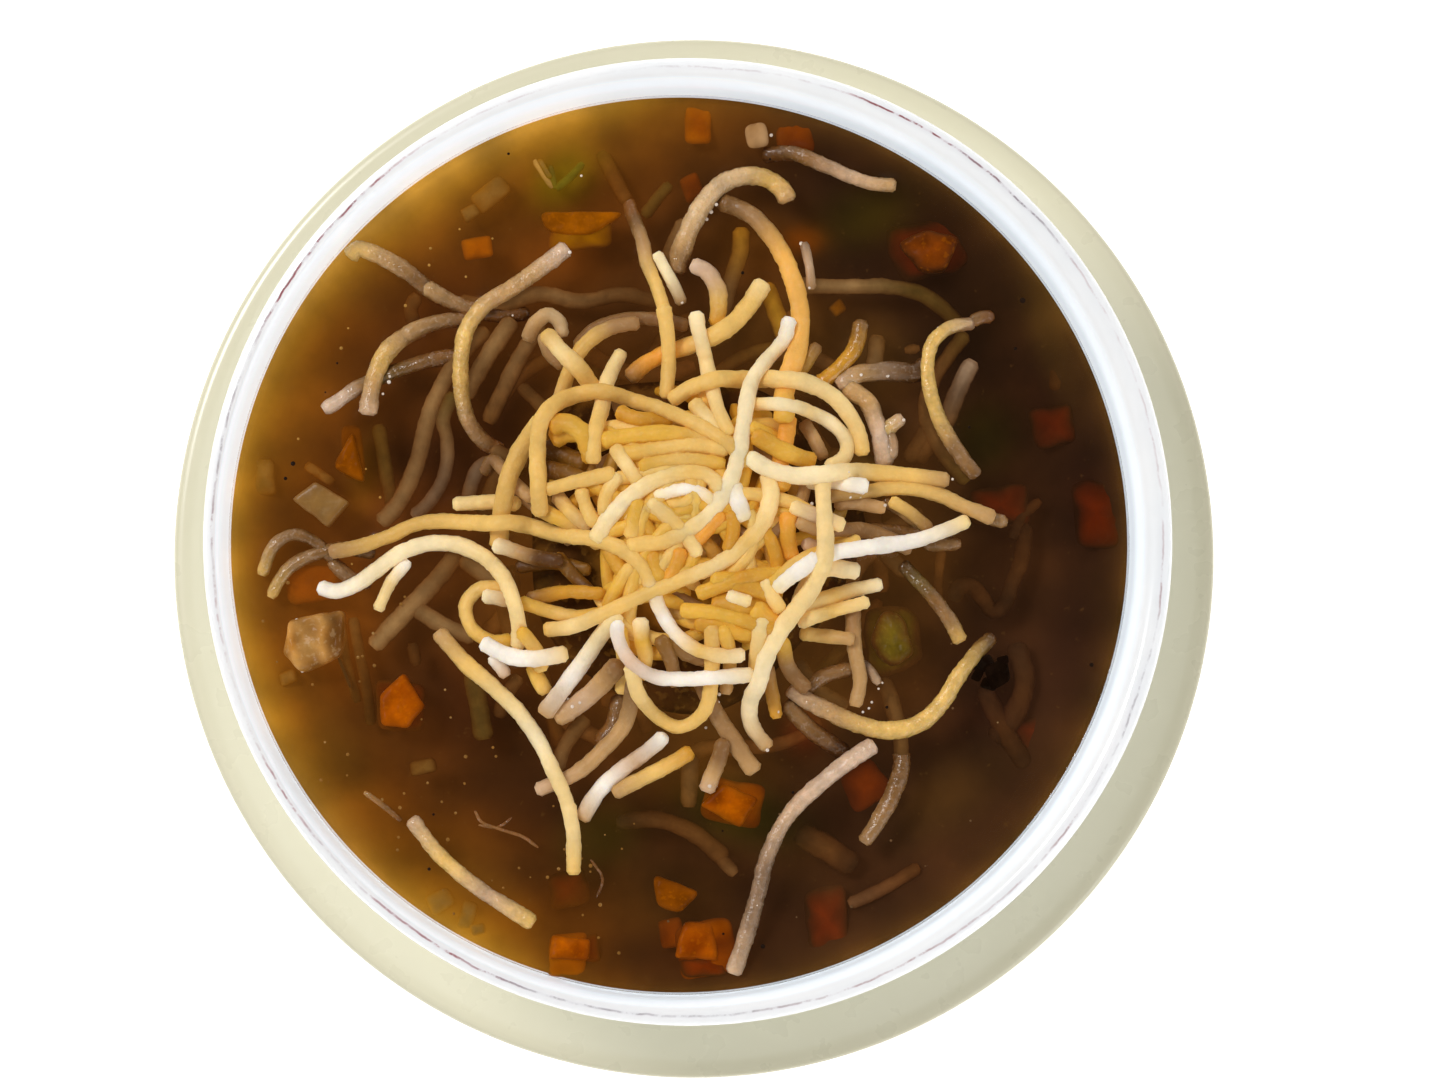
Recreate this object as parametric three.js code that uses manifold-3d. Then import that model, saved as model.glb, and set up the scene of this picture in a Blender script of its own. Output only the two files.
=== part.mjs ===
import * as THREE from 'three';
import { mergeVertices } from 'three/addons/utils/BufferGeometryUtils.js';
import Module from 'manifold-3d';

// A white bowl of brown vegetable soup with a mound of fried noodles, standing on a cream saucer.
// All sizes are in millimetres, +Z is up and the origin is under the middle of the saucer.

const GAP = 0.3;

// Saucer
const SAUCER_RADIUS = 75.4;
const SAUCER_HEIGHT = 15.6;
const SAUCER_WALL = 2.8;
const WELL_RADIUS = 33;
const WELL_TOP = 5;
const SAUCER_FOOT_OUTER = 42;
const SAUCER_FOOT_INNER = 38;
const SAUCER_RECESS = 1.8;
const SAUCER_SEGMENTS = 48;

// Bowl, a hand-thrown one whose hollow sits a little off the middle
const BOWL_RADIUS = 64.3;
const BOWL_HEIGHT = 60;
const BOWL_FOOT_RADIUS = 30;
const BOWL_FOOT_WIDTH = 4;
const BOWL_RECESS = 2.5;
const BOWL_FLOOR = 6.5;
const BOWL_SEGMENTS = 48;
const BOWL_PLACE = [-0.5, -0.4];
const HOLLOW_SHIFT = [-1.2, -0.15];
const BOWL_BASE = WELL_TOP + GAP;

// Soup
const SOUP_DEPTH_BELOW_RIM = 7;
const SOUP_RADIUS = 60.1;
const SOUP_TOP = BOWL_BASE + BOWL_HEIGHT - SOUP_DEPTH_BELOW_RIM;
const FOOD_PLACE = [-0.5, 0];
const SOUP_CENTRE = [
  BOWL_PLACE[0] + HOLLOW_SHIFT[0] - FOOD_PLACE[0],
  BOWL_PLACE[1] + HOLLOW_SHIFT[1] - FOOD_PLACE[1],
];

// Mound of noodles: its core, and the strands that show on it
const CORE_RADIUS = 23.5;
const CORE_RISE = 9;
const CORE_DEPTH = 7;
const CORE_SEGMENTS = 24;
const CORE_EDGE = 1;
const LAYER_STEP = 1.6;
const SOUP_CLEARANCE = 0.45;
const STRAND_SINK = 0.4;
const MOUND_INNER = 22;
const MOUND_OUTER = 40;
const STRAND_SIDES = 5;
const STRAND_STRETCH = 3.9;
const FILLER_COUNT = 8;
const FILLER_SEED = 11;

const wasm = await Module();
wasm.setup();

// Plain helpers: a closed three.js geometry as a solid, and a solid as a geometry

function solidOf(geometry) {
  geometry.deleteAttribute('normal');
  geometry.deleteAttribute('uv');
  const merged = mergeVertices(geometry, 1e-4);
  const solid = new wasm.Manifold(new wasm.Mesh({
    numProp: 3,
    vertProperties: new Float32Array(merged.attributes.position.array),
    triVerts: new Uint32Array(merged.index.array),
  }));
  return solid;
}

function geometryOf(solid) {
  const mesh = solid.getMesh();
  const geometry = new THREE.BufferGeometry();
  geometry.setAttribute('position', new THREE.BufferAttribute(new Float32Array(mesh.vertProperties), 3));
  geometry.setIndex(new THREE.BufferAttribute(new Uint32Array(mesh.triVerts), 1));
  geometry.computeVertexNormals();
  return geometry;
}

function joined(solids) {
  return solids.reduce((whole, solid) => whole.add(solid));
}

function glazed(color, roughness) {
  return new THREE.MeshStandardMaterial({ color, roughness, metalness: 0 });
}

// A profile of [radius, height, share of the shift] turned about +Z
function turned(profile, segments, shift = [0, 0]) {
  const points = profile.map(([radius, height]) => new THREE.Vector2(radius, height));
  const geometry = new THREE.LatheGeometry(points, segments);
  geometry.rotateX(Math.PI / 2);
  const position = geometry.attributes.position;
  for (let i = 0; i < position.count; i += 1) {
    const share = profile[i % profile.length][2] ?? 0;
    position.setX(i, position.getX(i) + share * shift[0]);
    position.setY(i, position.getY(i) + share * shift[1]);
  }
  return geometry;
}

// Evenly spread points of a smooth line through a few profile points
function smoothLine(points, count) {
  const curve = new THREE.SplineCurve(points.map(([radius, height]) => new THREE.Vector2(radius, height)));
  return curve.getSpacedPoints(count).map((point) => [point.x, point.y]);
}

// Saucer: a shallow dish with a flat well, a turned-up edge and a foot ring
function saucer() {
  const top = smoothLine([
    [WELL_RADIUS + 1, WELL_TOP],
    [WELL_RADIUS + 5, WELL_TOP + 1.3],
    [SAUCER_RADIUS - 18, SAUCER_HEIGHT - 4.6],
    [SAUCER_RADIUS - 5, SAUCER_HEIGHT - 0.7],
    [SAUCER_RADIUS - 1.4, SAUCER_HEIGHT],
  ], 7);
  const under = smoothLine([
    [SAUCER_RADIUS, SAUCER_HEIGHT - 1.1],
    [SAUCER_RADIUS - 1.2, SAUCER_HEIGHT - SAUCER_WALL + 0.4],
    [SAUCER_RADIUS - 18, SAUCER_HEIGHT - 4.6 - SAUCER_WALL],
    [SAUCER_FOOT_OUTER + 1, WELL_TOP - 2],
  ], 5);
  const profile = [
    [0, WELL_TOP],
    [WELL_RADIUS, WELL_TOP],
    ...top,
    ...under,
    [SAUCER_FOOT_OUTER, 0],
    [SAUCER_FOOT_INNER, 0],
    [SAUCER_FOOT_INNER - 1, SAUCER_RECESS],
    [0, SAUCER_RECESS],
  ];
  return turned(profile.reverse(), SAUCER_SEGMENTS);
}

// Height and radius of the bowl's hollow, from the middle of its floor to the lip
const HOLLOW_LINE = [
  [0, BOWL_FLOOR],
  [17, BOWL_FLOOR + 0.8],
  [32, BOWL_FLOOR + 4.5],
  [43, BOWL_FLOOR + 12.5],
  [51, BOWL_FLOOR + 22.5],
  [56.3, BOWL_FLOOR + 33.5],
  [59.2, BOWL_FLOOR + 42],
  [SOUP_RADIUS + 0.3, BOWL_HEIGHT - SOUP_DEPTH_BELOW_RIM],
];

// Bowl: foot ring, curved wall and a thick rounded lip
function bowl() {
  const foot = [
    [0, BOWL_RECESS, 0],
    [BOWL_FOOT_RADIUS - BOWL_FOOT_WIDTH - 0.8, BOWL_RECESS, 0],
    [BOWL_FOOT_RADIUS - BOWL_FOOT_WIDTH, 0, 0],
    [BOWL_FOOT_RADIUS, 0, 0],
    [BOWL_FOOT_RADIUS - 0.4, 4.6, 0],
  ];
  const outside = smoothLine([
    [37, 8.5],
    [47.5, 18],
    [55, 29.5],
    [60, 41.5],
    [62.9, 51.5],
    [BOWL_RADIUS, 57.6],
  ], 7).map(([radius, height]) => [radius, height, 0]);
  const lip = [
    [BOWL_RADIUS - 0.1, BOWL_HEIGHT - 1.1, 0],
    [BOWL_RADIUS - 0.6, BOWL_HEIGHT - 0.3, 0.1],
    [BOWL_RADIUS - 1.5, BOWL_HEIGHT, 0.3],
    [BOWL_RADIUS - 2.5, BOWL_HEIGHT - 0.5, 0.6],
    [SOUP_RADIUS + 0.9, BOWL_HEIGHT - 2.4, 0.9],
  ];
  const hollow = HOLLOW_LINE.map(([radius, height]) => [radius, height, 1]).reverse();
  const profile = [...foot, ...outside, ...lip, ...hollow];
  return turned(profile, BOWL_SEGMENTS, HOLLOW_SHIFT);
}

// Soup before anything is cut out of it, filling the hollow up to its level
function soupBody() {
  const side = HOLLOW_LINE.filter((_, number) => number % 2 === 1);
  const profile = [
    [0, BOWL_FLOOR + GAP + BOWL_BASE, 1],
    ...side.map(([radius, height]) => [radius - GAP, Math.min(height + GAP + BOWL_BASE, SOUP_TOP), 1]),
    [0, SOUP_TOP, 1],
  ];
  return solidOf(turned(profile, BOWL_SEGMENTS, SOUP_CENTRE));
}

// Core of the mound: a low dome above the soup and a shallow bowl shape below it, uneven all round
function unevenness(angle) {
  return 1 + 0.05 * Math.sin(3 * angle + 0.9) + 0.035 * Math.sin(5 * angle + 2.1);
}

function coreHeight(x, y) {
  const share = Math.hypot(x, y) / (CORE_RADIUS * unevenness(Math.atan2(y, x)));
  return share < 1 ? CORE_RISE * (1 - share ** 2) + CORE_EDGE / 2 : 0;
}

function moundCore(grow = 0) {
  const rings = [0, 0.3, 0.55, 0.78, 1];
  const below = rings.map((share) => [share, -(CORE_DEPTH + grow) * (1 - share ** 3) - CORE_EDGE]);
  const above = rings.map((share) => [share, (CORE_RISE + grow) * (1 - share ** 2) + CORE_EDGE / 2]);
  const line = [...below, ...above.reverse()];
  const profile = line.map(([share, height]) => [share * (CORE_RADIUS + grow), height]);
  const geometry = turned(profile, CORE_SEGMENTS);
  const position = geometry.attributes.position;
  for (let i = 0; i < position.count; i += 1) {
    const x = position.getX(i);
    const y = position.getY(i);
    const stretch = unevenness(Math.atan2(y, x));
    position.setXYZ(i, x * stretch, y * stretch, position.getZ(i) + SOUP_TOP);
  }
  return solidOf(geometry);
}

function smoothCurve(route) {
  const points = route.map(([x, y, z]) => new THREE.Vector3(x, y, z ?? 0));
  return new THREE.CatmullRomCurve3(points, false, 'centripetal');
}

// One noodle: a round section along a smooth line
function noodleSolid(route, radius) {
  const curve = smoothCurve(route);
  const section = new THREE.Shape(Array.from({ length: STRAND_SIDES }, (_, side) => {
    const angle = (2 * Math.PI * side) / STRAND_SIDES;
    return new THREE.Vector2(radius * Math.cos(angle), radius * Math.sin(angle));
  }));
  const steps = Math.max(3, Math.round(curve.getLength() / STRAND_STRETCH));
  return solidOf(new THREE.ExtrudeGeometry(section, { steps, extrudePath: curve, bevelEnabled: false }));
}

// A flat route, seen from above, as closely spaced points with their heights
function raised(route, heightAt) {
  const flat = smoothCurve(route);
  const count = Math.max(4, Math.round(flat.getLength() / STRAND_STRETCH));
  return flat.getSpacedPoints(count).map((point) => [point.x, point.y, heightAt(point.x, point.y)]);
}

function smoothStep(low, high, value) {
  const share = Math.min(1, Math.max(0, (value - low) / (high - low)));
  return share * share * (3 - 2 * share);
}

// A strand of the mound lies on the core or on the strands under it, and just above the soup outside
function strandSolid({ route, radius, layer }) {
  const heightAt = (x, y) => {
    const nearness = smoothStep(MOUND_OUTER, MOUND_INNER, Math.hypot(x, y));
    const onSoup = SOUP_TOP + radius + SOUP_CLEARANCE;
    const onCore = SOUP_TOP + coreHeight(x, y) + STRAND_SINK * radius;
    return Math.max(onSoup, onCore) + layer * LAYER_STEP * nearness;
  };
  return noodleSolid(raised(route, heightAt), radius);
}

// The mound's strands that show most, each as a route seen from above
const STRANDS = [
  { layer: 0, radius: 1.15, route: [[-48, -2], [-40, 0.2], [-34, 2.2], [-22, 1.7], [-12, -1], [-5, -5]] },
  { layer: 0, radius: 1.1, route: [[-49.5, -6.5], [-44, -6], [-34, -0.7], [-26, -4], [-22.4, -16]] },
  { layer: 0, radius: 1.1, route: [[-33.5, -12.5], [-26, -20], [-20, -27], [-16, -36], [-15.2, -45]] },
  { layer: 0, radius: 1.1, route: [[-20.5, -33.8], [-12, -29], [-8, -24], [-6, -16]] },
  { layer: 0, radius: 1.1, route: [[-14.3, -37.2], [-10, -31.8], [-4, -27], [1, -20]] },
  { layer: 0, radius: 1.2, route: [[-27.5, -14], [-21, -16.4], [-14, -14.5]] },
  { layer: 0, radius: 1.2, route: [[-20, -25], [-14, -17], [-9, -11]] },
  { layer: 1, radius: 1.15, route: [[-9, -12], [-6, -17.5], [0, -19], [9, -18.4]] },
  { layer: 0, radius: 1.2, route: [[-8, -16], [-4.5, -23.5], [0, -25], [3.2, -20], [3, -11]] },
  { layer: 1, radius: 1.15, route: [[-19, -12.8], [-8, -9], [3, -5], [10.5, 1.5], [10.4, 8]] },
  { layer: 1, radius: 1.2, route: [[18, 8], [18, -3], [12, -12], [8.3, -19], [10.5, -27.5]] },
  { layer: 0, radius: 1.2, route: [[9, -13], [17, -8.5], [26, -6.3]] },
  { layer: 0, radius: 1.15, route: [[21, -6.2], [23, -18], [22.3, -22.5]] },
  { layer: 0, radius: 1.15, route: [[12, -3.5], [20, -2.2], [31, -0.3], [37.5, 2.3]] },
  { layer: 1, radius: 1.2, route: [[2, 10.5], [12, 7.8], [22, 8.9], [35, 7.7]] },
  { layer: 0, radius: 1.1, route: [[17, 5], [26, 6], [33, 5.6], [41, 2.5]] },
  { layer: 1, radius: 1.2, route: [[-3, 17.5], [5, 21.2], [16, 20.5], [22.5, 16], [23.5, 10]] },
  { layer: 0, radius: 1.1, route: [[5, 16.5], [16, 16.2], [21.4, 12.5], [17, 8.5]] },
  { layer: 0, radius: 1.4, route: [[5.8, 45], [12.5, 38.5], [15.2, 29], [12.4, 18.5], [12.4, 8]] },
  { layer: 0, radius: 1.15, route: [[-8, 47], [-5, 36], [-2.6, 26], [-2.8, 15]] },
  { layer: 1, radius: 1.1, route: [[10, 34.2], [4, 27.2], [-5, 23.8], [-9, 18]] },
  { layer: 1, radius: 1.15, route: [[13.7, 29.5], [8, 19], [6.5, 7], [1, 0.5], [-9, -1.5]] },
  { layer: 1, radius: 1.15, route: [[-19.8, 2.5], [-19.8, 14], [-12, 19.2], [2, 15.5], [8, 10]] },
  { layer: 0, radius: 1.1, route: [[-9.3, 25], [-12, 14], [-12.5, 7]] },
  { layer: 0, radius: 1.1, route: [[-25, -1], [-23.8, 8], [-18, 17]] },
  { layer: 1, radius: 1.15, route: [[-12.7, -1], [-6.5, 5.5], [2, 8], [4, 3]] },
];

// Seeded random numbers, the same at every build
function randomFrom(seed) {
  let state = seed;
  return () => {
    state = (state * 1664525 + 1013904223) % 4294967296;
    return state / 4294967296;
  };
}

// Arcs that fill the crown of the mound between the strands above
function fillerStrands() {
  const random = randomFrom(FILLER_SEED);
  return Array.from({ length: FILLER_COUNT }, (_, number) => {
    const around = (2 * Math.PI * number) / FILLER_COUNT;
    const away = 4 + 6 * random();
    const bend = 7 + 6 * random();
    const start = 2 * Math.PI * random();
    const sweep = 1.4 + 1.2 * random();
    const radius = 1.05 + 0.2 * random();
    const route = [0, 0.25, 0.5, 0.75, 1].map((share) => [
      away * Math.cos(around) + bend * Math.cos(start + sweep * share),
      away * Math.sin(around) + bend * Math.sin(start + sweep * share),
    ]);
    return { layer: 0, radius, route };
  });
}

// Noodles that lie loose in the soup round the mound, half sunk
const LOOSE_NOODLES = [
  { name: 'noodle_upper_left', radius: 1.1, route: [[-16.8, 38.4], [-27.5, 31.3], [-30.5, 22], [-28, 13.6]] },
  { name: 'noodle_wall_left', radius: 1.1, route: [[-45, 38.8], [-38, 36], [-32.5, 32.2]] },
  { name: 'noodle_left', radius: 1.15, route: [[-43, 16.5], [-41.2, 24], [-35.5, 28.5]] },
  { name: 'noodle_top_arc', radius: 1.35, route: [[-1.6, 36], [1.2, 43.8], [7.5, 48.8], [13.5, 45.3]] },
  { name: 'noodle_top', radius: 1.05, route: [[28, 47.5], [18, 50], [10, 52]] },
  { name: 'noodle_right_arc', radius: 0.95, route: [[38.5, 29], [32.4, 24.5], [33.8, 15.5], [38.8, 8.4]] },
  { name: 'noodle_right', radius: 1, route: [[29, -4], [33.4, -8.6], [36.7, -14]] },
  { name: 'noodle_lower_right', radius: 1.1, route: [[14, -20.5], [23, -25], [31, -24.8], [40.5, -13.5]] },
  { name: 'noodle_bottom', radius: 1.1, route: [[24.8, -28], [14, -36.4], [9.5, -47], [6, -58]] },
  { name: 'noodle_bottom_short', radius: 1.1, route: [[28.6, -28.5], [28, -33.5], [23.6, -40.5]] },
  { name: 'noodle_lower_left', radius: 1.1, route: [[-37, -37.5], [-29.5, -45.6], [-20.5, -51.5]] },
];
const LOOSE_SINK = 0.15;

function looseNoodle({ route, radius }, grow = 0) {
  const line = raised(route, () => SOUP_TOP - LOOSE_SINK);
  if (grow > 0) {
    lengthen(line, grow);
  }
  return noodleSolid(line, radius + grow);
}

// Both ends of a line moved outwards
function lengthen(line, by) {
  for (const [end, next] of [[0, 1], [line.length - 1, line.length - 2]]) {
    const length = Math.hypot(line[end][0] - line[next][0], line[end][1] - line[next][1]);
    for (const axis of [0, 1]) {
      line[end][axis] += (by * (line[end][axis] - line[next][axis])) / length;
    }
  }
}

// Cut pieces that break the surface, by their corners seen from above
const CHUNKS = [
  {
    name: 'carrot_1', kind: 'carrot', thick: 4, proud: 0.7, tilt: 4,
    corners: [[1.6, -35.8], [4.6, -32.8], [9.4, -34.8], [7, -38.8]],
  },
  {
    name: 'carrot_2', kind: 'carrot', thick: 4.5, proud: 0.8, tilt: -5,
    corners: [[-41.2, -21], [-38, -18], [-35.3, -22.4], [-37.4, -25.6], [-41, -25]],
  },
  {
    name: 'carrot_3', kind: 'carrot', thick: 4.5, proud: 0.9, tilt: 6,
    corners: [[28.2, 39.8], [31.2, 36], [34.4, 35.8], [36.6, 40.4], [32, 41.6]],
  },
  {
    name: 'carrot_4', kind: 'carrot', thick: 3.5, proud: 0.6, tilt: 3,
    corners: [[-20.2, 44], [-18.8, 41], [-13.2, 40.8], [-8.2, 44]],
  },
  {
    name: 'carrot_5', kind: 'carrot', thick: 3.5, proud: 0.6, tilt: 3,
    corners: [[-45, 14.6], [-47.8, 9.4], [-43.4, 7.4]],
  },
  {
    name: 'carrot_6', kind: 'carrot', thick: 3.5, proud: 0.6, tilt: -3,
    corners: [[-4.6, -45], [1.6, -47.3], [-0.9, -50.2], [-4.2, -49.2]],
  },
  {
    name: 'carrot_7', kind: 'carrot', thick: 4, proud: 0.6, tilt: 3,
    corners: [[-0.6, -51.4], [3.4, -51.2], [4, -56.4], [-1.8, -56]],
  },
  {
    name: 'carrot_8', kind: 'carrot', thick: 4, proud: 0.6, tilt: -3,
    corners: [[-18.2, -53], [-13, -53.6], [-13.2, -56.4], [-18.4, -56.2]],
  },
  {
    name: 'green_bean_1', kind: 'green_bean', thick: 5, proud: 1, tilt: 5,
    corners: [[25.8, -9.6], [24.2, -14.4], [27, -17.6], [30.4, -15.8], [29, -10.4]],
  },
  {
    name: 'chicken_1', kind: 'chicken', thick: 5, proud: 1, tilt: -6,
    corners: [[-53.4, -10.8], [-46, -9.6], [-46.2, -15.6], [-51.6, -18.2], [-54.2, -15.6]],
  },
  {
    name: 'cabbage_1', kind: 'cabbage', thick: 2.6, proud: 0.6, tilt: 4,
    corners: [[-53.2, 5.2], [-50, 7.6], [-45.4, 4.8], [-48.2, 1.4]],
  },
  {
    name: 'mushroom_1', kind: 'mushroom', thick: 2.6, proud: 0.7, tilt: -4,
    corners: [[39.6, -17.4], [42.6, -15.8], [43.2, -19], [40.6, -20.6]],
  },
];
const CHUNK_BEVEL = 0.4;
const SIDE_TILT_SHARE = 0.6;
const CORNER_GROWTH = 1.6;

function chunk({ corners, thick, proud, tilt }, grow = 0) {
  const middle = [0, 1].map((axis) => {
    const sum = corners.reduce((total, corner) => total + corner[axis], 0);
    return sum / corners.length;
  });
  const local = corners.map(([x, y]) => [x - middle[0], y - middle[1]]);
  const reach = Math.min(...local.map(([x, y]) => Math.hypot(x, y)));
  const scale = (reach + CORNER_GROWTH * grow - CHUNK_BEVEL) / reach;
  const outline = new THREE.Shape(local.map(([x, y]) => new THREE.Vector2(x * scale, y * scale)));
  const geometry = new THREE.ExtrudeGeometry(outline, {
    depth: thick - 2 * CHUNK_BEVEL + 2 * grow,
    bevelEnabled: true,
    bevelSegments: 1,
    bevelSize: CHUNK_BEVEL,
    bevelThickness: CHUNK_BEVEL,
    curveSegments: 1,
  });
  geometry.translate(0, 0, -(thick - 2 * CHUNK_BEVEL) / 2 - grow);
  geometry.rotateX(THREE.MathUtils.degToRad(tilt));
  geometry.rotateY(THREE.MathUtils.degToRad(-SIDE_TILT_SHARE * tilt));
  geometry.translate(middle[0], middle[1], SOUP_TOP + proud - thick / 2);
  return solidOf(geometry);
}

const COLORS = {
  saucer: glazed(0xe8e3cc, 0.3),
  bowl: glazed(0xf5f7f8, 0.2),
  soup: glazed(0x4b2a10, 0.15),
  noodle: glazed(0xe0b870, 0.5),
  loose_noodle: glazed(0xcaa070, 0.4),
  carrot: glazed(0xb8540a, 0.3),
  green_bean: glazed(0x6c6a12, 0.3),
  chicken: glazed(0xa87c48, 0.4),
  cabbage: glazed(0x9c7a48, 0.4),
  mushroom: glazed(0x181010, 0.3),
};

function named(name, geometry, material, parent) {
  const mesh = new THREE.Mesh(geometry, material);
  mesh.name = name;
  parent.add(mesh);
  return mesh;
}

// The whole dish
const dish = new THREE.Group();
named('saucer', saucer(), COLORS.saucer, dish);
const bowlMesh = named('bowl', bowl(), COLORS.bowl, dish);
bowlMesh.position.set(BOWL_PLACE[0], BOWL_PLACE[1], BOWL_BASE);

const food = new THREE.Group();
food.position.set(FOOD_PLACE[0], FOOD_PLACE[1], 0);
dish.add(food);

const pockets = [
  moundCore(GAP),
  ...LOOSE_NOODLES.map((noodle) => looseNoodle(noodle, GAP)),
  ...CHUNKS.map((piece) => chunk(piece, GAP)),
];
named('soup', geometryOf(soupBody().subtract(joined(pockets))), COLORS.soup, food);

const strands = [...STRANDS, ...fillerStrands()].map(strandSolid);
named('noodle_heap', geometryOf(joined([moundCore(), ...strands])), COLORS.noodle, food);

for (const noodle of LOOSE_NOODLES) {
  named(noodle.name, geometryOf(looseNoodle(noodle)), COLORS.loose_noodle, food);
}
for (const piece of CHUNKS) {
  named(piece.name, geometryOf(chunk(piece)), COLORS[piece.kind], food);
}

export default dish;
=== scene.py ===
"""A white bowl of brown vegetable soup under a mound of fried noodles, on a cream saucer."""
import math
import random

import bpy
import numpy as np
from mathutils import Matrix, Vector, noise


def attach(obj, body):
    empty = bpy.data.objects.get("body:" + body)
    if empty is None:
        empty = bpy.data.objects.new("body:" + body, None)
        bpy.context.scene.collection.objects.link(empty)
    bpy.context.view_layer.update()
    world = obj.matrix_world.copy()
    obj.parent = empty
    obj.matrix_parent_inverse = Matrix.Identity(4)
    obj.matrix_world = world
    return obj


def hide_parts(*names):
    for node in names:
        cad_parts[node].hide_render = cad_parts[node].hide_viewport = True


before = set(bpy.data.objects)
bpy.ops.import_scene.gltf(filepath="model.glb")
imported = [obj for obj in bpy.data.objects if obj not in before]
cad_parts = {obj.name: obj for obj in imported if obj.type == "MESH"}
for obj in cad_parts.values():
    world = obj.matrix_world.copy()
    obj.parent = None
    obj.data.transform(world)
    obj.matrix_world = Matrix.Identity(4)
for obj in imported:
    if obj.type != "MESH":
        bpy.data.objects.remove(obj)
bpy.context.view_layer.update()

# Sizes in millimetres, as in the CAD model
MM = 0.001
SAUCER_RADIUS = 75.4
SAUCER_HEIGHT = 15.6
SAUCER_WALL = 2.8
WELL_RADIUS = 33
WELL_TOP = 5
SAUCER_FOOT_OUTER = 42
SAUCER_FOOT_INNER = 38
SAUCER_RECESS = 1.8
BOWL_RADIUS = 64.3
BOWL_HEIGHT = 60
BOWL_FOOT_RADIUS = 30
BOWL_FOOT_WIDTH = 4
BOWL_RECESS = 2.5
BOWL_FLOOR = 6.5
BOWL_PLACE = (-0.5, -0.4)
HOLLOW_SHIFT = (-1.2, -0.15)
BOWL_BASE = 5.3
SOUP_RADIUS = 60.1
SOUP_TOP = 58.3
FOOD_PLACE = (-0.5, 0.0)
HOLLOW_PLACE = (BOWL_PLACE[0] + HOLLOW_SHIFT[0], BOWL_PLACE[1] + HOLLOW_SHIFT[1])
SOUP_CENTRE = (HOLLOW_PLACE[0] - FOOD_PLACE[0], HOLLOW_PLACE[1] - FOOD_PLACE[1])
LATHE_SEGMENTS = 240
SPAN_SAMPLES = 24

# Camera, over the soup and a little towards the diner
VIEW_CENTRE = (3.79, -0.47)
VIEW_DISTANCE = 529
VIEW_TILT = 3.2
LENS = 98.67


def linear(*rgb):
    """Screen colour, 0 to 255, as linear light."""
    c = np.array(rgb, float) / 255
    return np.where(c <= 0.04045, c / 12.92, ((c + 0.055) / 1.055) ** 2.4)


def smooth_step(low, high, value):
    share = np.clip((value - low) / (high - low), 0, 1)
    return share * share * (3 - 2 * share)


def run_along(points):
    """Distance run along a line of points, which starts at 0."""
    return np.concatenate([[0], np.cumsum(np.linalg.norm(np.diff(points, axis=0), axis=1))])


def read_off(at, run, rows):
    """Rows of values read off at other places along a run."""
    return np.stack([np.interp(at, run, rows[:, k]) for k in range(rows.shape[1])], axis=1)


def smooth_line(points, step):
    """Evenly spaced points of a smooth line through the given ones."""
    p = np.array(points, float)
    t = np.concatenate([[0], np.cumsum(np.sqrt(np.linalg.norm(np.diff(p, axis=0), axis=1)) + 1e-6)])
    chord = np.diff(p, axis=0) / np.diff(t)[:, None]
    slope = np.empty_like(p)
    slope[0], slope[-1] = chord[0], chord[-1]
    for i in range(1, len(p) - 1):
        wide = (p[i + 1] - p[i - 1]) / (t[i + 1] - t[i - 1])
        slope[i] = chord[i - 1] - wide + chord[i]
    dense = []
    for i in range(len(p) - 1):
        h = t[i + 1] - t[i]
        s = np.linspace(0, 1, SPAN_SAMPLES, endpoint=i == len(p) - 2)[:, None]
        dense.append(
            (1 + 2 * s) * (1 - s) ** 2 * p[i]
            + s * (1 - s) ** 2 * h * slope[i]
            + s * s * (3 - 2 * s) * p[i + 1]
            + s * s * (s - 1) * h * slope[i + 1]
        )
    dense = np.concatenate(dense)
    run = run_along(dense)
    count = max(3, int(round(run[-1] / step)) + 1)
    return read_off(np.linspace(0, run[-1], count), run, dense)


def spread(values, count):
    """A few values spread evenly over count places."""
    return np.interp(np.linspace(0, len(values) - 1, count), np.arange(len(values)), values)


# Colours of the soup, from its dark middle to the lit edge
SOUP_RAMP_AT = (0.0, 0.3, 0.6, 0.86, 1.1)
SOUP_RAMP = np.array([(47, 26, 14), (84, 47, 13), (120, 74, 19), (156, 108, 34), (190, 140, 64)], float)
SOUP_SHADED_RIM_GLOW = np.array((92, 62, 29), float)
SOUP_GAIN = np.array((1.72, 1.66, 1.1))
# Painted light: the stretch of wall where the soup is lit, and how far in the light reaches
LIT_FROM, LIT_FULL, LIT_FADES, LIT_TO = 64, 106, 240, 274
LIT_PEAK, LIT_PEAK_WIDTH = 124, 26
LIT_DEPTH, LIT_PEAK_DEPTH, LIT_PEAK_GAIN = 8.5, 1.2, 0.2
LOW_RIGHT_ANGLE, LOW_RIGHT_SPREAD = 318, 34
LOW_RIGHT_INWARD, LOW_RIGHT_WIDTH = 6, 12
LOW_RIGHT_TONE = np.array((14, 9, 7))
EDGE_DEPTH, EDGE_SHARE = 1.6, 0.8
LEFT_FROM, LEFT_FULL = 22, -28
CLOUD_FALL = 1.3
SOUP_DRIFT = 0.09
TONE_LIMITS = (4, 250)
CLEAR_LENGTHS = np.array((2.6, 1.5, 1.1))
LEFT_PAINTED_LIGHT = np.array((18, 8, -1))
NEAR_MOUND_PAINTED_LIGHT = np.array((34, 23, 6))
NEAR_MOUND = 31
# Painted glow: its strength on the soup, and the share of each colour painted in as glow so that shadows
# stay faint
SOUP_LIGHT = 0.58
SOUP_GLOW = 0.6
SUNK_GLOW = 0.62
NOODLE_GLOW = 0.15
CORE_GLOW = 0.15
CHUNK_GLOW = 0.35

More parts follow.
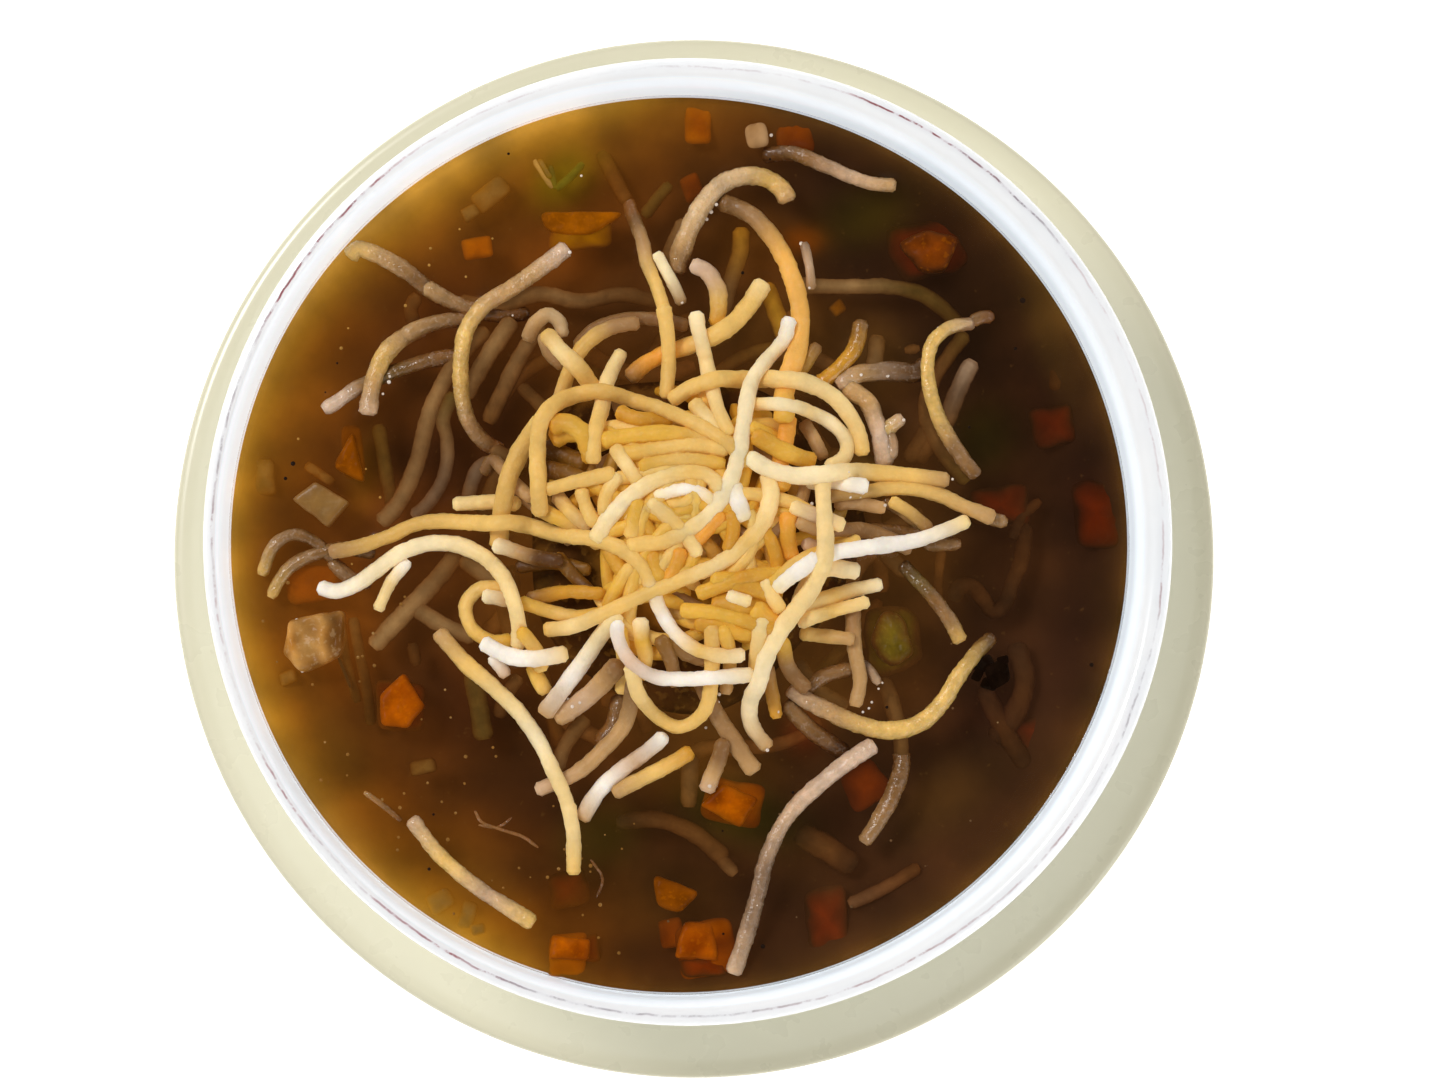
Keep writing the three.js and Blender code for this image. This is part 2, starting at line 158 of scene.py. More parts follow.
# Soft clouds in the soup: middle, half length, half width, turn in degrees and change of tone
CLOUDS = [
    (24, 44, 7, 4, 15, (2, 10, -6)), (40, 14, 5, 4.5, 60, (-4, 5, -6)), (-12, -40, 6, 4.5, 20, (-4, 8, -4)),
    (-25, -27, 6, 5, 30, (-12, -6, -4)), (7, -37, 9, 4, -15, (-4, 9, -6)),
    (37, -33, 11, 5, 38, (12, 12, 2)), (49, 26, 9, 2.6, 108, (22, 19, 7)), (-46, -11, 8, 8, 0, (34, 20, 6)),
    (10, 38, 6, 8, 90, (22, 12, 0)), (-15, 40, 8, 5, 20, (18, 8, 0)), (-4, -48, 10, 6, 0, (12, 10, 2)),
    (-39, 2, 6, 8, 90, (22, 12, 6)), (15.5, -26, 3, 3, 0, (24, 2, 0)), (-17, 49, 5, 3.4, 40, (-2, 18, -6)),
    (-44, 9, 6, 2.4, 80, (6, 8, -4)), (44, -2, 6, 8, 0, (8, 5, 3)), (-35, 12, 4, 8, 0, (-14, -9, -4)),
    (40, 30, 9, 6, 30, (-6, -3, -3)), (14, -44, 9, 3.4, -30, (14, 10, 5)), (-30, -45, 9, 6, -40, (8, 8, 2)),
    (-49, -38, 12, 5, -50, (-16, -14, 0)), (-38, 33, 12, 8, 45, (-14, -10, 0)),
    (2, 52, 10, 4, 0, (6, 4, 2)), (44, -20, 7, 9, 0, (4, 3, 4)), (31, -1, 7, 13, 0, (20, 14, 4)),
    (26, -21, 9, 6, 0, (24, 15, 6)), (4, -31, 10, 5, 0, (18, 13, 2)), (-22, -34, 10, 6, 0, (-14, -8, -2)),
    (-23, 17, 5, 7, 0, (-16, -10, -4)), (-14, -42, 8, 5, 0, (-10, -6, 0)), (8, 42, 7, 5, 0, (12, 8, 0)),
    (-28, 9, 7, 10, 0, (-16, -11, -4)), (-27, -22, 9, 8, 0, (-10, -8, -3)),
    (40, -30, 9, 6, 45, (-8, -6, -3)), (52, -16, 4, 9, 0, (-10, -7, -3)), (50, 22, 4, 6, 0, (-10, -8, -4)),
    (-40, -16, 6, 5, 0, (-12, -7, -2)), (-41, 15, 4, 6, 0, (-8, -5, -2)), (18, 30, 8, 5, 0, (14, 9, 2)),
    (0, -56, 8, 4, 0, (10, 4, 0)), (15.8, 41, 3, 2, 0, (40, 14, -8)), (-24, 48, 6, 5, 0, (-16, -11, -4)),
    (-8, 56, 6, 4, 0, (-20, -12, -3)), (-48, -32, 6, 5, 0, (-12, -6, -3)),
    (-40, -40, 6, 5, 0, (-10, -7, -3)), (-8, -56, 6, 4, 0, (-14, -8, -3)), (26, 25, 5, 6, 0, (20, 16, 6)),
    (-24, 2, 4, 7, 0, (16, 12, 4)), (-50, 28, 6, 5, 0, (-20, -15, -6)), (-57, -5, 4, 13, 0, (-16, -12, -2)),
    (-46, -27, 5, 5, 0, (-18, -8, 0)), (-27, -46, 6, 4, 0, (-8, -3, 4)), (12, 28, 9, 6, 0, (16, 12, 4)),
    (32, 16, 5, 6, 0, (12, 8, 5)), (-24, -12, 5, 6, 0, (12, 9, 3)), (0, -24, 9, 4, 0, (18, 14, 6)),
    (17, -20, 5, 6, 0, (14, 11, 4)), (41, -27, 6, 8, 0, (-9, -7, -3)), (55, 6, 5, 9, 0, (-8, -7, -3)),
]


def soup_tone(x, y):
    """Colour of the deep soup at a place on it, in linear light, with light and shade painted into it."""
    dx, dy = x - SOUP_CENTRE[0], y - SOUP_CENTRE[1]
    inward = np.clip(SOUP_RADIUS - np.hypot(dx, dy), 0, None)
    angle = np.degrees(np.arctan2(dy, dx)) % 360
    # Painted light: the soup lighter near the wall on the lit side
    lit = smooth_step(LIT_FROM, LIT_FULL, angle) * (1 - smooth_step(LIT_FADES, LIT_TO, angle))
    peak = np.exp(-(((angle - LIT_PEAK) / LIT_PEAK_WIDTH) ** 2))
    glow = lit * (1 + LIT_PEAK_GAIN * peak) * np.exp(-inward / (LIT_DEPTH + LIT_PEAK_DEPTH * peak))
    tone = read_off(glow, SOUP_RAMP_AT, SOUP_RAMP)
    low_right = np.exp(-(((angle - LOW_RIGHT_ANGLE) / LOW_RIGHT_SPREAD) ** 2))
    low_right = low_right * np.exp(-(((inward - LOW_RIGHT_INWARD) / LOW_RIGHT_WIDTH) ** 2))
    tone = tone + low_right[:, None] * LOW_RIGHT_TONE
    # Painted glow along the wall on the shaded side
    edge = (1 - lit) * np.exp(-inward / EDGE_DEPTH)
    tone = tone + (edge * EDGE_SHARE)[:, None] * (SOUP_SHADED_RIM_GLOW - tone)
    # Painted light: the left half, towards the lamp, a little lighter
    left = smooth_step(LEFT_FROM, LEFT_FULL, x) * (1 - np.clip(glow, 0, 1))
    tone = tone + left[:, None] * LEFT_PAINTED_LIGHT
    # Painted light round the mound, lifting the soup where the mound shades it
    tone = tone + np.exp(-((np.hypot(x, y) / NEAR_MOUND) ** 4))[:, None] * NEAR_MOUND_PAINTED_LIGHT
    for middle_x, middle_y, long, wide, turn, change in CLOUDS:
        a = math.radians(turn)
        along = ((x - middle_x) * math.cos(a) + (y - middle_y) * math.sin(a)) / long
        across = ((y - middle_y) * math.cos(a) - (x - middle_x) * math.sin(a)) / wide
        tone = tone + np.exp(-((along ** 2 + across ** 2) ** CLOUD_FALL))[:, None] * np.array(change)
    drift = np.sin(0.23 * x + 0.31 * y + 1.0) * np.sin(0.17 * x - 0.27 * y + 2.0)
    drift = drift + 0.6 * np.sin(0.53 * x - 0.21 * y + 0.4 * np.sin(0.4 * y)) * np.sin(0.19 * x + 0.57 * y)
    tone = np.clip(tone * (1 + SOUP_DRIFT * drift)[:, None], *TONE_LIMITS)
    return linear(*tone.T).T * SOUP_GAIN


def murk(points, base):
    """Colours of points, dimmed by the soup over them."""
    depth = np.clip(SOUP_TOP - points[:, 2], 0, None)[:, None]
    clear = np.exp(-depth / CLEAR_LENGTHS)
    return base * clear + soup_tone(points[:, 0], points[:, 1]) * (1 - clear)


class Shape:
    """Points, faces and painted colours of one piece while it is being made."""

    def __init__(self):
        self.points, self.faces, self.paint, self.wet = [], [], [], []
        self.count = 0

    def add(self, points, faces, paint, wet):
        self.points.append(points)
        self.paint.append(np.broadcast_to(paint, points.shape))
        self.wet.append(np.broadcast_to(wet, len(points)))
        self.faces.extend([tuple(i + self.count for i in face) for face in faces])
        self.count += len(points)

    def piece(self, name, material, slot, nodes=(), place=FOOD_PLACE):
        points = np.concatenate(self.points) + np.array((place[0], place[1], 0.0))
        mesh = bpy.data.meshes.new(name)
        mesh.from_pydata((points * MM).tolist(), [], self.faces)
        paint = mesh.attributes.new("paint", "FLOAT_COLOR", "POINT")
        rgba = np.ones((self.count, 4), np.float32)
        rgba[:, :3] = np.concatenate(self.paint)
        paint.data.foreach_set("color", rgba.ravel())
        wet = mesh.attributes.new("wet", "FLOAT", "POINT")
        wet.data.foreach_set("value", np.concatenate(self.wet).astype(np.float32))
        mesh.polygons.foreach_set("use_smooth", [True] * len(mesh.polygons))
        mesh.materials.append(material)
        mesh.validate()
        mesh.update()
        made = bpy.data.objects.new(name, mesh)
        bpy.context.scene.collection.objects.link(made)
        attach(made, "root")
        if nodes:
            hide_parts(*nodes)


# Materials

class Nodes:
    """Short ways to add nodes to one material."""

    def __init__(self, name):
        self.material = bpy.data.materials.new(name)
        self.material.use_nodes = True
        self.tree = self.material.node_tree
        self.shader = self.tree.nodes["Principled BSDF"]
        self.output = self.tree.nodes["Material Output"]

    def new(self, kind, **values):
        node = self.tree.nodes.new(kind)
        for key, value in values.items():
            setattr(node, key, value)
        return node

    def link(self, source, target):
        self.tree.links.new(source, target)

    def attribute(self, name, kind="Color"):
        return self.new("ShaderNodeAttribute", attribute_name=name).outputs[kind]

    def place(self):
        return self.new("ShaderNodeTexCoord").outputs["Object"]

    def noise(self, scale, detail=3.0, roughness=0.5, vector=None):
        node = self.new("ShaderNodeTexNoise")
        node.inputs["Scale"].default_value = scale
        node.inputs["Detail"].default_value = detail
        node.inputs["Roughness"].default_value = roughness
        self.link(vector or self.place(), node.inputs["Vector"])
        return node.outputs["Fac"]

    def ramp(self, factor, low, high, from_value=0.0, to_value=1.0):
        node = self.new("ShaderNodeMapRange", interpolation_type="SMOOTHSTEP")
        node.inputs["From Min"].default_value = low
        node.inputs["From Max"].default_value = high
        node.inputs["To Min"].default_value = from_value
        node.inputs["To Max"].default_value = to_value
        self.link(factor, node.inputs["Value"])
        return node.outputs["Result"]

    def math(self, operation, a, b=0.5, clamp=False):
        node = self.new("ShaderNodeMath", operation=operation, use_clamp=clamp)
        for socket, value in zip(node.inputs, (a, b)):
            if isinstance(value, (int, float)):
                socket.default_value = value
            else:
                self.link(value, socket)
        return node.outputs[0]

    def mix(self, factor, a, b, blend="MIX"):
        node = self.new("ShaderNodeMix", data_type="RGBA", blend_type=blend)
        for socket, value in ((node.inputs[0], factor), (node.inputs[6], a), (node.inputs[7], b)):
            if isinstance(value, (int, float)):
                socket.default_value = value
            elif isinstance(value, (tuple, np.ndarray)):
                socket.default_value = (*value, 1.0)
            else:
                self.link(value, socket)
        return node.outputs[2]

    def shaded(self, color, shade):
        """A colour made lighter or darker by one value."""
        grey = self.new("ShaderNodeCombineColor")
        for channel in grey.inputs:
            self.link(shade, channel)
        return self.mix(1.0, color, grey.outputs[0], "MULTIPLY")

    def bump(self, height, strength, distance):
        node = self.new("ShaderNodeBump")
        node.inputs["Strength"].default_value = strength
        node.inputs["Distance"].default_value = distance * MM
        self.link(height, node.inputs["Height"])
        self.link(node.outputs["Normal"], self.shader.inputs["Normal"])

    def set(self, **values):
        for key, value in values.items():
            self.shader.inputs[key.replace("_", " ")].default_value = value
        return self


def paint_glow(n, color, share, light=SOUP_LIGHT):
    """Paints part of the colour in as a glow, which stands in for light from all round, so that shadows stay
    faint.
    """
    n.link(n.mix(1.0, color, (1 - share, 1 - share, 1 - share), "MULTIPLY"), n.shader.inputs["Base Color"])
    n.link(color, n.shader.inputs["Emission Color"])
    n.set(Emission_Strength=light * share)


def food_material(name, mottle_scale, mottle, dry=0.5, soaked=0.16, bump=0.35, fleck=None, fleck_share=0.4,
                  glow=0.0, light=SOUP_LIGHT):
    """Painted food: mottled colour, pale flecks, a wet shine where it is soaked, and a painted glow where
    glow is given.
    """
    n = Nodes(name)
    cloud = n.noise(mottle_scale, 4.0, 0.6)
    color = n.shaded(n.attribute("paint"), n.ramp(cloud, 0.3, 0.7, 1 - mottle, 1 + mottle))
    grain = n.noise(mottle_scale * 3.1, 2.0)
    if fleck is not None:
        spots = n.math("MULTIPLY", n.ramp(grain, 0.56, 0.68), fleck_share)
        color = n.mix(spots, color, fleck)
    if glow:
        paint_glow(n, color, glow, light)
    else:
        n.link(color, n.shader.inputs["Base Color"])
    n.link(n.ramp(n.attribute("wet", "Fac"), 0.0, 1.0, dry, soaked), n.shader.inputs["Roughness"])
    n.bump(grain, bump, 0.25)
    return n


def noodle_material(name):
    n = food_material(name, 460, 0.06, dry=0.5, soaked=0.2, bump=0.5, fleck=linear(250, 232, 190),
                      fleck_share=0.06, glow=NOODLE_GLOW, light=0.82)
    n.set(Specular_IOR_Level=0.3, Subsurface_Weight=0.5, Subsurface_Scale=1.0 * MM)
    n.set(Subsurface_Radius=(1.0, 0.78, 0.42))
    return n.material


def soaked_material(name):
    n = food_material(name, 560, 0.16, dry=0.42, soaked=0.14, bump=0.75, fleck=linear(238, 212, 188),
                      fleck_share=0.1)
    n.set(Specular_IOR_Level=0.42, Subsurface_Weight=0.3, Subsurface_Scale=1.0 * MM)
    n.set(Subsurface_Radius=(1.0, 0.6, 0.3))
    return n.material


def vegetable_material(name, fleck, mottle=0.14, share=0.25, bump=0.3, soaked=0.12, gloss=0.5):
    n = food_material(name, 420, mottle, dry=0.4, soaked=soaked, bump=bump, fleck=fleck, fleck_share=share,
                      glow=CHUNK_GLOW, light=0.8)
    n.set(Specular_IOR_Level=gloss)
    return n.material


def sunk_material(name, mottle_scale=300, mottle=0.1):
    """Food under the soup's surface, whose own shine doesn't show, with a painted glow that keeps its
    shadows faint.
    """
    n = food_material(name, mottle_scale, mottle, dry=0.9, soaked=0.9, bump=0.15, glow=SUNK_GLOW)
    n.set(Specular_IOR_Level=0.0)
    return n.material


def deep_soup_material():
    n = Nodes("deep_soup")
    haze = n.ramp(n.noise(120, 4.0, 0.6), 0.3, 0.7, 0.88, 1.14)
    color = n.shaded(n.attribute("paint"), haze)
    crumbs = n.ramp(n.noise(900, 2.0), 0.68, 0.78, 0.0, 0.16)
    paint_glow(n, n.mix(crumbs, color, linear(150, 105, 50)), SOUP_GLOW)
    n.set(Roughness=0.9, Specular_IOR_Level=0.05)
    return n.material


def soup_surface_material():
    """Clear top of the soup: only its gloss shows, on the side that faces out."""
    n = Nodes("soup_surface")
    n.tree.nodes.remove(n.shader)
    clear = n.new("ShaderNodeBsdfTransparent")
    gloss = n.new("ShaderNodeBsdfGlossy")
    gloss.inputs["Roughness"].default_value = 0.09
    fresnel = n.new("ShaderNodeFresnel")
    fresnel.inputs["IOR"].default_value = 1.34
    inside = n.new("ShaderNodeNewGeometry").outputs["Backfacing"]
    outside = n.math("SUBTRACT", 1.0, inside)
    bump = n.new("ShaderNodeBump")
    bump.inputs["Strength"].default_value = 0.12
    bump.inputs["Distance"].default_value = 0.2 * MM
    n.link(n.noise(260, 3.0), bump.inputs["Height"])
    n.link(bump.outputs["Normal"], gloss.inputs["Normal"])
    mix = n.new("ShaderNodeMixShader")
    n.link(n.math("MULTIPLY", fresnel.outputs[0], outside), mix.inputs[0])
    n.link(clear.outputs[0], mix.inputs[1])
    n.link(gloss.outputs[0], mix.inputs[2])
    n.link(mix.outputs[0], n.output.inputs["Surface"])
    return n.material


def radius_from(n, centre):
    """Distance from an upright axis, in metres."""
    split = n.new("ShaderNodeSeparateXYZ")
    n.link(n.place(), split.inputs[0])
    flat = n.new("ShaderNodeCombineXYZ")
    n.link(n.math("SUBTRACT", split.outputs[0], centre[0] * MM), flat.inputs[0])
    n.link(n.math("SUBTRACT", split.outputs[1], centre[1] * MM), flat.inputs[1])
    length = n.new("ShaderNodeVectorMath", operation="LENGTH")
    n.link(flat.outputs[0], length.inputs[0])
    return length.outputs["Value"], split.outputs[2]


# Painted glow inside the lip, from its crest to the soup, standing in for light that the pale glaze carries
# down, and a painted bluish shade over the same band
INNER_PAINTED_GLOW = 0.4
INNER_PAINTED_GLOW_COLOR = (0.84, 0.97, 1.08, 1.0)
INNER_SHADE_TINT = 0.4
INNER_FROM, INNER_TO = 62.4, 61.0
CREST_LOW, CREST_HIGH = 59.2, 59.9

# The thin worn line round the lip: its radius, its waver, the heights it fades in over, and where along the
# lip it is strongest, as angle, reach in degrees and strength
WORN_RADIUS = 62.95
WORN_WIDTH = 0.2
WORN_WAVER = 1.1
WORN_LOW, WORN_HIGH = 58.4, 59.2
WORN_ROUGHNESS, GLAZE_ROUGHNESS = 0.7, 0.16
SMUDGE_NEAR, SMUDGE_FAR, SMUDGE_SHARE = 0.1, 0.9, 0.22
WORN_PLACES = (
    (54, 12, 0.9), (141, 10, 0.55), (174, 12, 0.35), (-140, 10, 0.35), (-110, 11, 0.6), (-76, 14, 0.35),
    (-24, 17, 0.25),
)


def worn_strength(n):
    """How worn the lip is round the bowl: more in a few stretches."""
    split = n.new("ShaderNodeSeparateXYZ")
    n.link(n.place(), split.inputs[0])
    total = None
    for degrees, spread_over, strength in WORN_PLACES:
        a = math.radians(degrees)
        along = n.math("MULTIPLY", split.outputs[0], math.cos(a))
        across = n.math("MULTIPLY", split.outputs[1], math.sin(a))
        far = WORN_RADIUS * MM
        ends = far * math.cos(math.radians(2 * spread_over))
        near = n.ramp(n.math("ADD", along, across), ends, far, 0.0, strength)
        total = near if total is None else n.math("MAXIMUM", total, near)
    return total


def worn_paint(n, radius, height, white):
    """The glaze's colour with the worn line and the smudge round it, and how worn it is."""
    wobble = n.math("MULTIPLY", n.math("SUBTRACT", n.noise(110, 4.0, 0.65), 0.5), WORN_WAVER * MM)
    away = n.math("ABSOLUTE", n.math("SUBTRACT", n.math("ADD", radius, wobble), WORN_RADIUS * MM))
    line = n.ramp(away, 0.25 * WORN_WIDTH * MM, WORN_WIDTH * MM, 1.0, 0.0)
    strength = worn_strength(n)
    broken = n.math("ADD", n.ramp(n.noise(75, 5.0, 0.7), 0.4, 0.6, 0.15, 0.85), strength)
    broken = n.math("MULTIPLY", broken, n.math("ADD", strength, 0.3), True)
    fine = n.ramp(n.noise(420, 4.0, 0.7), 0.4, 0.54, 0.12, 1.0)
    on_top = n.ramp(height, (BOWL_BASE + WORN_LOW) * MM, (BOWL_BASE + WORN_HIGH) * MM)
    worn = n.math("MULTIPLY", n.math("MULTIPLY", line, n.math("MULTIPLY", broken, fine)), on_top)
    rust = n.mix(n.ramp(n.noise(38, 2.0), 0.42, 0.58), linear(150, 140, 146), linear(142, 66, 74))
    near = n.ramp(away, SMUDGE_NEAR * MM, SMUDGE_FAR * MM, 1.0, 0.0)
    smudge = n.math("MULTIPLY", near, n.math("MULTIPLY", broken, on_top))
    color = n.mix(n.math("MULTIPLY", smudge, SMUDGE_SHARE), white, linear(200, 192, 200))
    return n.mix(worn, color, rust), worn


def bowl_material():
    n = Nodes("bowl_glaze")
    radius, height = radius_from(n, BOWL_PLACE)
    white = n.mix(n.ramp(n.noise(90, 3.0), 0.35, 0.65), linear(243, 244, 245), linear(238, 240, 242))
    # Painted bluish shade and painted glow over the band inside the lip, above the soup
    hollow_radius, _ = radius_from(n, HOLLOW_PLACE)
    below_crest = n.ramp(height, (BOWL_BASE + CREST_LOW) * MM, (BOWL_BASE + CREST_HIGH) * MM, 1.0, 0.0)
    inner = n.math("MULTIPLY", n.ramp(hollow_radius, INNER_TO * MM, INNER_FROM * MM, 1.0, 0.0), below_crest)
    white = n.mix(n.math("MULTIPLY", inner, INNER_SHADE_TINT), white, linear(234, 240, 246))
    color, worn = worn_paint(n, radius, height, white)
    n.link(color, n.shader.inputs["Base Color"])
    n.link(n.math("MULTIPLY", inner, INNER_PAINTED_GLOW), n.shader.inputs["Emission Strength"])
    n.link(n.ramp(worn, 0.0, 1.0, GLAZE_ROUGHNESS, WORN_ROUGHNESS), n.shader.inputs["Roughness"])
    n.set(Emission_Color=INNER_PAINTED_GLOW_COLOR, Specular_IOR_Level=0.5, Coat_Weight=0.3, Coat_Roughness=0.08)
    n.set(Subsurface_Weight=1.0, Subsurface_Scale=4 * MM, Subsurface_Radius=(1.0, 1.0, 1.0))
    n.bump(n.math("SUBTRACT", n.noise(60, 3.0), n.math("MULTIPLY", worn, 0.6)), 0.25, 0.3)
    return n.material


def saucer_material():
    n = Nodes("saucer_glaze")
    radius, _ = radius_from(n, (0, 0))
    cream = n.mix(n.ramp(n.noise(45, 3.0), 0.35, 0.65), linear(219, 212, 184), linear(218, 211, 182))
    # Darker olive at the outer edge: painted shade where the rim turns down
    edge = n.ramp(radius, (SAUCER_RADIUS - 1.2) * MM, (SAUCER_RADIUS - 0.2) * MM)
    color = n.mix(n.math("MULTIPLY", edge, 0.3), cream, linear(202, 198, 164))
    specks = n.ramp(n.noise(1500, 2.0), 0.7, 0.76, 0.0, 0.05)
    n.link(n.mix(specks, color, linear(190, 180, 150)), n.shader.inputs["Base Color"])
    n.link(n.ramp(n.noise(200, 3.0), 0.3, 0.7, 0.27, 0.29), n.shader.inputs["Roughness"])
    n.set(Specular_IOR_Level=0.5, Coat_Weight=0.2, Coat_Roughness=0.12)
    n.bump(n.noise(40, 2.0), 0.03, 0.2)
    return n.material


# Crockery

def profile_line(points, step):
    return smooth_line(points, step).tolist()


def lathe(name, profile, place, base, material, slot):
    """A closed profile of (radius, height, share of the hollow's shift) turned about an upright axis."""
    angles = np.linspace(0, 2 * math.pi, LATHE_SEGMENTS, endpoint=False)
    points, faces, rings = [], [], []
    for radius, height, share in [(*p, 0.0)[:3] for p in profile]:
        if radius < 1e-6:
            rings.append([len(points)])
            points.append((share * HOLLOW_SHIFT[0], share * HOLLOW_SHIFT[1], height))
            continue
        rings.append(list(range(len(points), len(points) + LATHE_SEGMENTS)))
        for angle in angles:
            points.append((
                radius * math.cos(angle) + share * HOLLOW_SHIFT[0],
                radius * math.sin(angle) + share * HOLLOW_SHIFT[1],
                height,
            ))
    for low, high in zip(rings, rings[1:]):
        for i in range(LATHE_SEGMENTS):
            j = (i + 1) % LATHE_SEGMENTS
            if len(low) == 1:
                faces.append((low[0], high[j], high[i]))
            elif len(high) == 1:
                faces.append((low[i], low[j], high[0]))
            else:
                faces.append((low[i], low[j], high[j], high[i]))
    shape = Shape()
    shape.add(np.array(points) + np.array((0, 0, base)), faces, (1.0, 1.0, 1.0), 0.0)
    shape.piece(name + "_glazed", material, slot, [name], place)


def hollow_line():
    return [
        (0.0, BOWL_FLOOR),
        (17.0, BOWL_FLOOR + 0.8),
        (32.0, BOWL_FLOOR + 4.5),
        (43.0, BOWL_FLOOR + 12.5),
        (51.0, BOWL_FLOOR + 22.5),
        (56.3, BOWL_FLOOR + 33.5),
        (59.2, BOWL_FLOOR + 42.0),
        (SOUP_RADIUS + 0.3, BOWL_HEIGHT - 7.0),
    ]


def make_bowl():
    inner_foot = BOWL_FOOT_RADIUS - BOWL_FOOT_WIDTH
    foot = [
        (0.0, BOWL_RECESS),
        (inner_foot - 1.4, BOWL_RECESS),
        (inner_foot - 0.8, BOWL_RECESS - 0.3),
        (inner_foot - 0.2, 0.4),
        (inner_foot + 0.4, 0.0),
        (BOWL_FOOT_RADIUS - 0.5, 0.0),
        (BOWL_FOOT_RADIUS, 0.5),
        (BOWL_FOOT_RADIUS - 0.3, 3.8),
    ]
    outside = profile_line([
        (BOWL_FOOT_RADIUS - 0.1, 4.6),
        (BOWL_FOOT_RADIUS + 1.6, 5.6),
        (37.0, 8.5),
        (47.5, 18.0),
        (55.0, 29.5),
        (60.0, 41.5),
        (62.9, 51.5),
        (BOWL_RADIUS, 57.6),
    ], 2.0)
    lip = profile_line([
        (BOWL_RADIUS, 57.6, 0.0),
        (BOWL_RADIUS - 0.1, BOWL_HEIGHT - 1.1, 0.0),
        (BOWL_RADIUS - 0.6, BOWL_HEIGHT - 0.3, 0.1),
        (BOWL_RADIUS - 1.5, BOWL_HEIGHT, 0.3),
        (BOWL_RADIUS - 2.5, BOWL_HEIGHT - 0.5, 0.6),
        (SOUP_RADIUS + 0.9, BOWL_HEIGHT - 2.4, 0.9),
        (SOUP_RADIUS + 0.3, BOWL_HEIGHT - 7.0, 1.0),
    ], 0.45)
    hollow = [(*p, 1.0) for p in profile_line(hollow_line()[::-1], 3.0)]
    profile = [*foot, *outside, *lip[1:], *hollow[1:]]
    lathe("bowl", profile, BOWL_PLACE, BOWL_BASE, bowl_material(), "bowl_glaze")


def make_saucer():
    top = profile_line([
        (WELL_RADIUS, WELL_TOP),
        (WELL_RADIUS + 1, WELL_TOP + 0.05),
        (WELL_RADIUS + 5, WELL_TOP + 1.3),
        (SAUCER_RADIUS - 18, SAUCER_HEIGHT - 4.6),
        (SAUCER_RADIUS - 5, SAUCER_HEIGHT - 0.7),
        (SAUCER_RADIUS - 1.4, SAUCER_HEIGHT),
    ], 1.5)
    edge = profile_line([
        (SAUCER_RADIUS - 1.4, SAUCER_HEIGHT),
        (SAUCER_RADIUS - 0.4, SAUCER_HEIGHT - 0.25),
        (SAUCER_RADIUS, SAUCER_HEIGHT - 1.1),
        (SAUCER_RADIUS - 1.2, SAUCER_HEIGHT - SAUCER_WALL + 0.4),
    ], 0.35)
    under = profile_line([
        (SAUCER_RADIUS - 1.2, SAUCER_HEIGHT - SAUCER_WALL + 0.4),
        (SAUCER_RADIUS - 18, SAUCER_HEIGHT - 4.6 - SAUCER_WALL),
        (SAUCER_FOOT_OUTER + 1, WELL_TOP - 2),
    ], 2.0)
    foot = [
        (SAUCER_FOOT_OUTER, 0.4),
        (SAUCER_FOOT_OUTER - 0.4, 0.0),
        (SAUCER_FOOT_INNER + 0.3, 0.0),
        (SAUCER_FOOT_INNER - 0.2, 0.5),
        (SAUCER_FOOT_INNER - 1, SAUCER_RECESS),
        (0.0, SAUCER_RECESS),
    ]
    profile = [(0.0, WELL_TOP), *top, *edge[1:], *under[1:], *foot]
    lathe("saucer", profile[::-1], (0, 0), 0.0, saucer_material(), "saucer_glaze")


# Heights of what has been laid down so far, on a fine grid over the soup
CELL = 0.4
HALF = 64
CELLS = int(2 * HALF / CELL) + 1
CORE_RADIUS = 22.5
CORE_RISE = 5.2
MOUND_LIMIT = 12.1
SETTLING_ROUNDS = 36
SHORE_WIDTH = 2.4


def unevenness(angle):
    return 1 + 0.05 * np.sin(3 * angle + 0.9) + 0.035 * np.sin(5 * angle + 2.1)


def core_height(x, y):
    share = np.hypot(x, y) / (CORE_RADIUS * unevenness(np.arctan2(y, x)))
    return np.where(share < 1, CORE_RISE * (1 - share ** 2), -CORE_RISE * (share - 1) * 2)


axis = np.linspace(-HALF, HALF, CELLS)
grid_x, grid_y = np.meshgrid(axis, axis)
ground = SOUP_TOP + np.clip(core_height(grid_x, grid_y), -9, None)
shore = np.full((CELLS, CELLS), 9.0)


def disc_cells(radius):
    reach = int(math.ceil(radius / CELL))
    across = np.arange(-reach, reach + 1)
    ox, oy = np.meshgrid(across, across)
    away = np.hypot(ox, oy) * CELL
    inside = away <= radius
    return ox[inside], oy[inside], away[inside]


def cells_round(x, y, radius):
    ox, oy, away = disc_cells(radius)
    column = np.clip(np.round((x + HALF) / CELL).astype(int)[:, None] + ox, 0, CELLS - 1)
    row = np.clip(np.round((y + HALF) / CELL).astype(int)[:, None] + oy, 0, CELLS - 1)
    return row, column, away


def lay(x, y, radius, float_height):
    """Heights of a strand's middle line where it comes to rest on what is there already."""
    row, column, _ = cells_round(x, y, 0.6 * radius)
    least = np.maximum(ground[row, column].max(axis=1) + 0.62 * radius, SOUP_TOP + float_height)
    z = least + 0.12 * radius
    for _ in range(SETTLING_ROUNDS):
        z[1:-1] = 0.5 * z[1:-1] + 0.25 * (z[:-2] + z[2:])
        z[0] = 0.6 * z[0] + 0.4 * z[1]
        z[-1] = 0.6 * z[-1] + 0.4 * z[-2]
        z = np.maximum(z, least)
    over = np.clip(z - SOUP_TOP, 0, None)
    return np.where(z > SOUP_TOP, SOUP_TOP + MOUND_LIMIT * np.tanh(over / MOUND_LIMIT), z)


